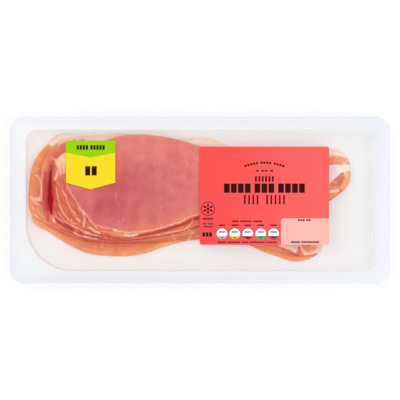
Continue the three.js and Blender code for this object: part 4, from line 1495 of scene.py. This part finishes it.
def sticker_outline():
    """The sticker's outline round its middle: a rectangle whose front edge comes to a blunt point."""
    half, back = STICKER_SIZE[0] / 2, STICKER_SIZE[1] / 2
    shoulder = STICKER_POINT - back
    corners = np.array([(-half, shoulder), (0, -back), (half, shoulder), (half, back), (-half, back)])
    share = (np.arange(STICKER_STEPS) / STICKER_STEPS)[None, :, None]
    return (corners[:, None] * (1 - share) + np.roll(corners, -1, 0)[:, None] * share).reshape(-1, 2)


class PACK_OT_sticker(bpy.types.Operator):
    """Stick the pointed sticker on the film"""

    bl_idname = "bacon_pack.sticker"
    bl_label = "Sticker"

    def execute(self, context):
        lift = sizes().film_sheet / MM + PAPER_LIFT
        loops = scaled_loops(sticker_outline() + STICKER_CENTRE, STICKER_CENTRE, STICKER_RINGS)
        points, faces = film_sheet(loops, STICKER_CENTRE, lift, sizes().paper / MM)
        yellow = printed_ink("sticker_print_yellow", colours().sticker_yellow)
        new_piece("sticker_sheet", points, faces, yellow, "pointed_sticker")
        return {"FINISHED"}


class PACK_OT_sticker_print(bpy.types.Operator):
    """Print the sticker: a green band with a pointed lower edge, and plain dark blocks"""

    bl_idname = "bacon_pack.sticker_print"
    bl_label = "Sticker print"

    def execute(self, context):
        half, back = STICKER_SIZE[0] / 2, STICKER_SIZE[1] / 2
        across = np.linspace(-half, half, 2 * STICKER_STEPS + 1)
        low = GREEN_BAND_LOW - GREEN_BAND_POINT * (1 - np.abs(across) / half)
        band = (np.column_stack([across, low]), np.column_stack([across, np.full(len(across), back)]))
        dark = [shape for row in STICKER_ROWS for shape in block_row(*row)]
        printed("sticker_print_green", [band], STICKER_CENTRE, 1, colours().sticker_green)
        printed("sticker_print_dark", dark, STICKER_CENTRE, 2, colours().ink_brown)
        return {"FINISHED"}


class PACK_OT_stage(bpy.types.Operator):
    """Set the light table, the soft lights and the camera over the pack"""

    bl_idname = "bacon_pack.stage"
    bl_label = "Stage"

    def execute(self, context):
        settings = context.scene.bacon_pack_stage
        corners = [
            (x * TABLE_HALF, y * TABLE_HALF, -TABLE_DROP) for x, y in ((-1, -1), (1, -1), (1, 1), (-1, 1))
        ]
        mesh = bpy.data.meshes.new("studio_floor")
        mesh.from_pydata(corners, [], [(0, 1, 2, 3)])
        mesh.materials.append(light_table_opal_acrylic(settings.glow))
        floor = bpy.data.objects.new("studio_floor", mesh)
        context.scene.collection.objects.link(floor)

        world = bpy.data.worlds.new("white_surround")
        world.use_nodes = True
        background = world.node_tree.nodes["Background"]
        background.inputs["Color"].default_value = (1, 1, 1, 1)
        background.inputs["Strength"].default_value = settings.sky
        context.scene.world = world
        context.scene.view_settings.view_transform = "Standard"
        context.scene.cycles.transparent_max_bounces = CLEAR_CROSSINGS

        for name, power, spot, size in (
            ("soft_key", settings.key, KEY_PLACE, KEY_SIZE),
            ("soft_fill", settings.fill, FILL_PLACE, FILL_SIZE),
        ):
            light = bpy.data.lights.new(name, "AREA")
            light.energy = power
            light.size = size
            lamp = bpy.data.objects.new(name, light)
            lamp.location = spot
            lamp.rotation_euler = aimed_at((0, 0, 0), spot)
            lamp.visible_camera = False
            context.scene.collection.objects.link(lamp)

        camera = bpy.data.cameras.new("camera")
        camera.lens = settings.lens
        camera.clip_end = SIGHT_REACH
        eye = bpy.data.objects.new("camera", camera)
        reach = settings.framed / 2 / (camera.sensor_width / 2 / camera.lens)
        eye.location = (0, 0, FLANGE_TOP * MM + reach)
        context.scene.collection.objects.link(eye)
        context.scene.camera = eye
        return {"FINISHED"}


def aimed_at(target, spot):
    """Rotation that turns a lamp at spot towards target."""
    return (Vector(target) - Vector(spot)).to_track_quat("-Z", "Y").to_euler()


OPERATORS = (
    PACK_OT_stage, PACK_OT_tray, PACK_OT_rashers, PACK_OT_film, PACK_OT_label, PACK_OT_label_print,
    PACK_OT_sticker, PACK_OT_sticker_print,
)


class PACK_PT_sidebar(bpy.types.Panel):
    """The pack's pieces, sizes and colours"""

    bl_idname = "PACK_PT_sidebar"
    bl_label = "Bacon pack"
    bl_space_type = "VIEW_3D"
    bl_region_type = "UI"
    bl_category = "Bacon pack"

    def draw(self, context):
        for operator in OPERATORS:
            self.layout.operator(operator.bl_idname)
        for group_name, group in GROUPS.items():
            for name in group.__annotations__:
                self.layout.prop(getattr(context.scene, group_name), name)


GROUPS = {
    "bacon_pack_sizes": PackSizes,
    "bacon_pack_colours": PackColours,
    "bacon_pack_stage": StageSettings,
}
CLASSES = (*GROUPS.values(), *OPERATORS, PACK_PT_sidebar)


def register():
    """Make the properties, operators and panel known to Blender."""
    for cls in CLASSES:
        bpy.utils.register_class(cls)
    for name, group in GROUPS.items():
        setattr(bpy.types.Scene, name, bpy.props.PointerProperty(type=group))


def unregister():
    """Take them out again."""
    for name in GROUPS:
        delattr(bpy.types.Scene, name)
    for cls in reversed(CLASSES):
        bpy.utils.unregister_class(cls)


def main():
    """Make the stage and every piece in order."""
    register()
    for operator in OPERATORS:
        getattr(bpy.ops.bacon_pack, operator.bl_idname.split(".")[1])()


if __name__ == "__main__":
    main()
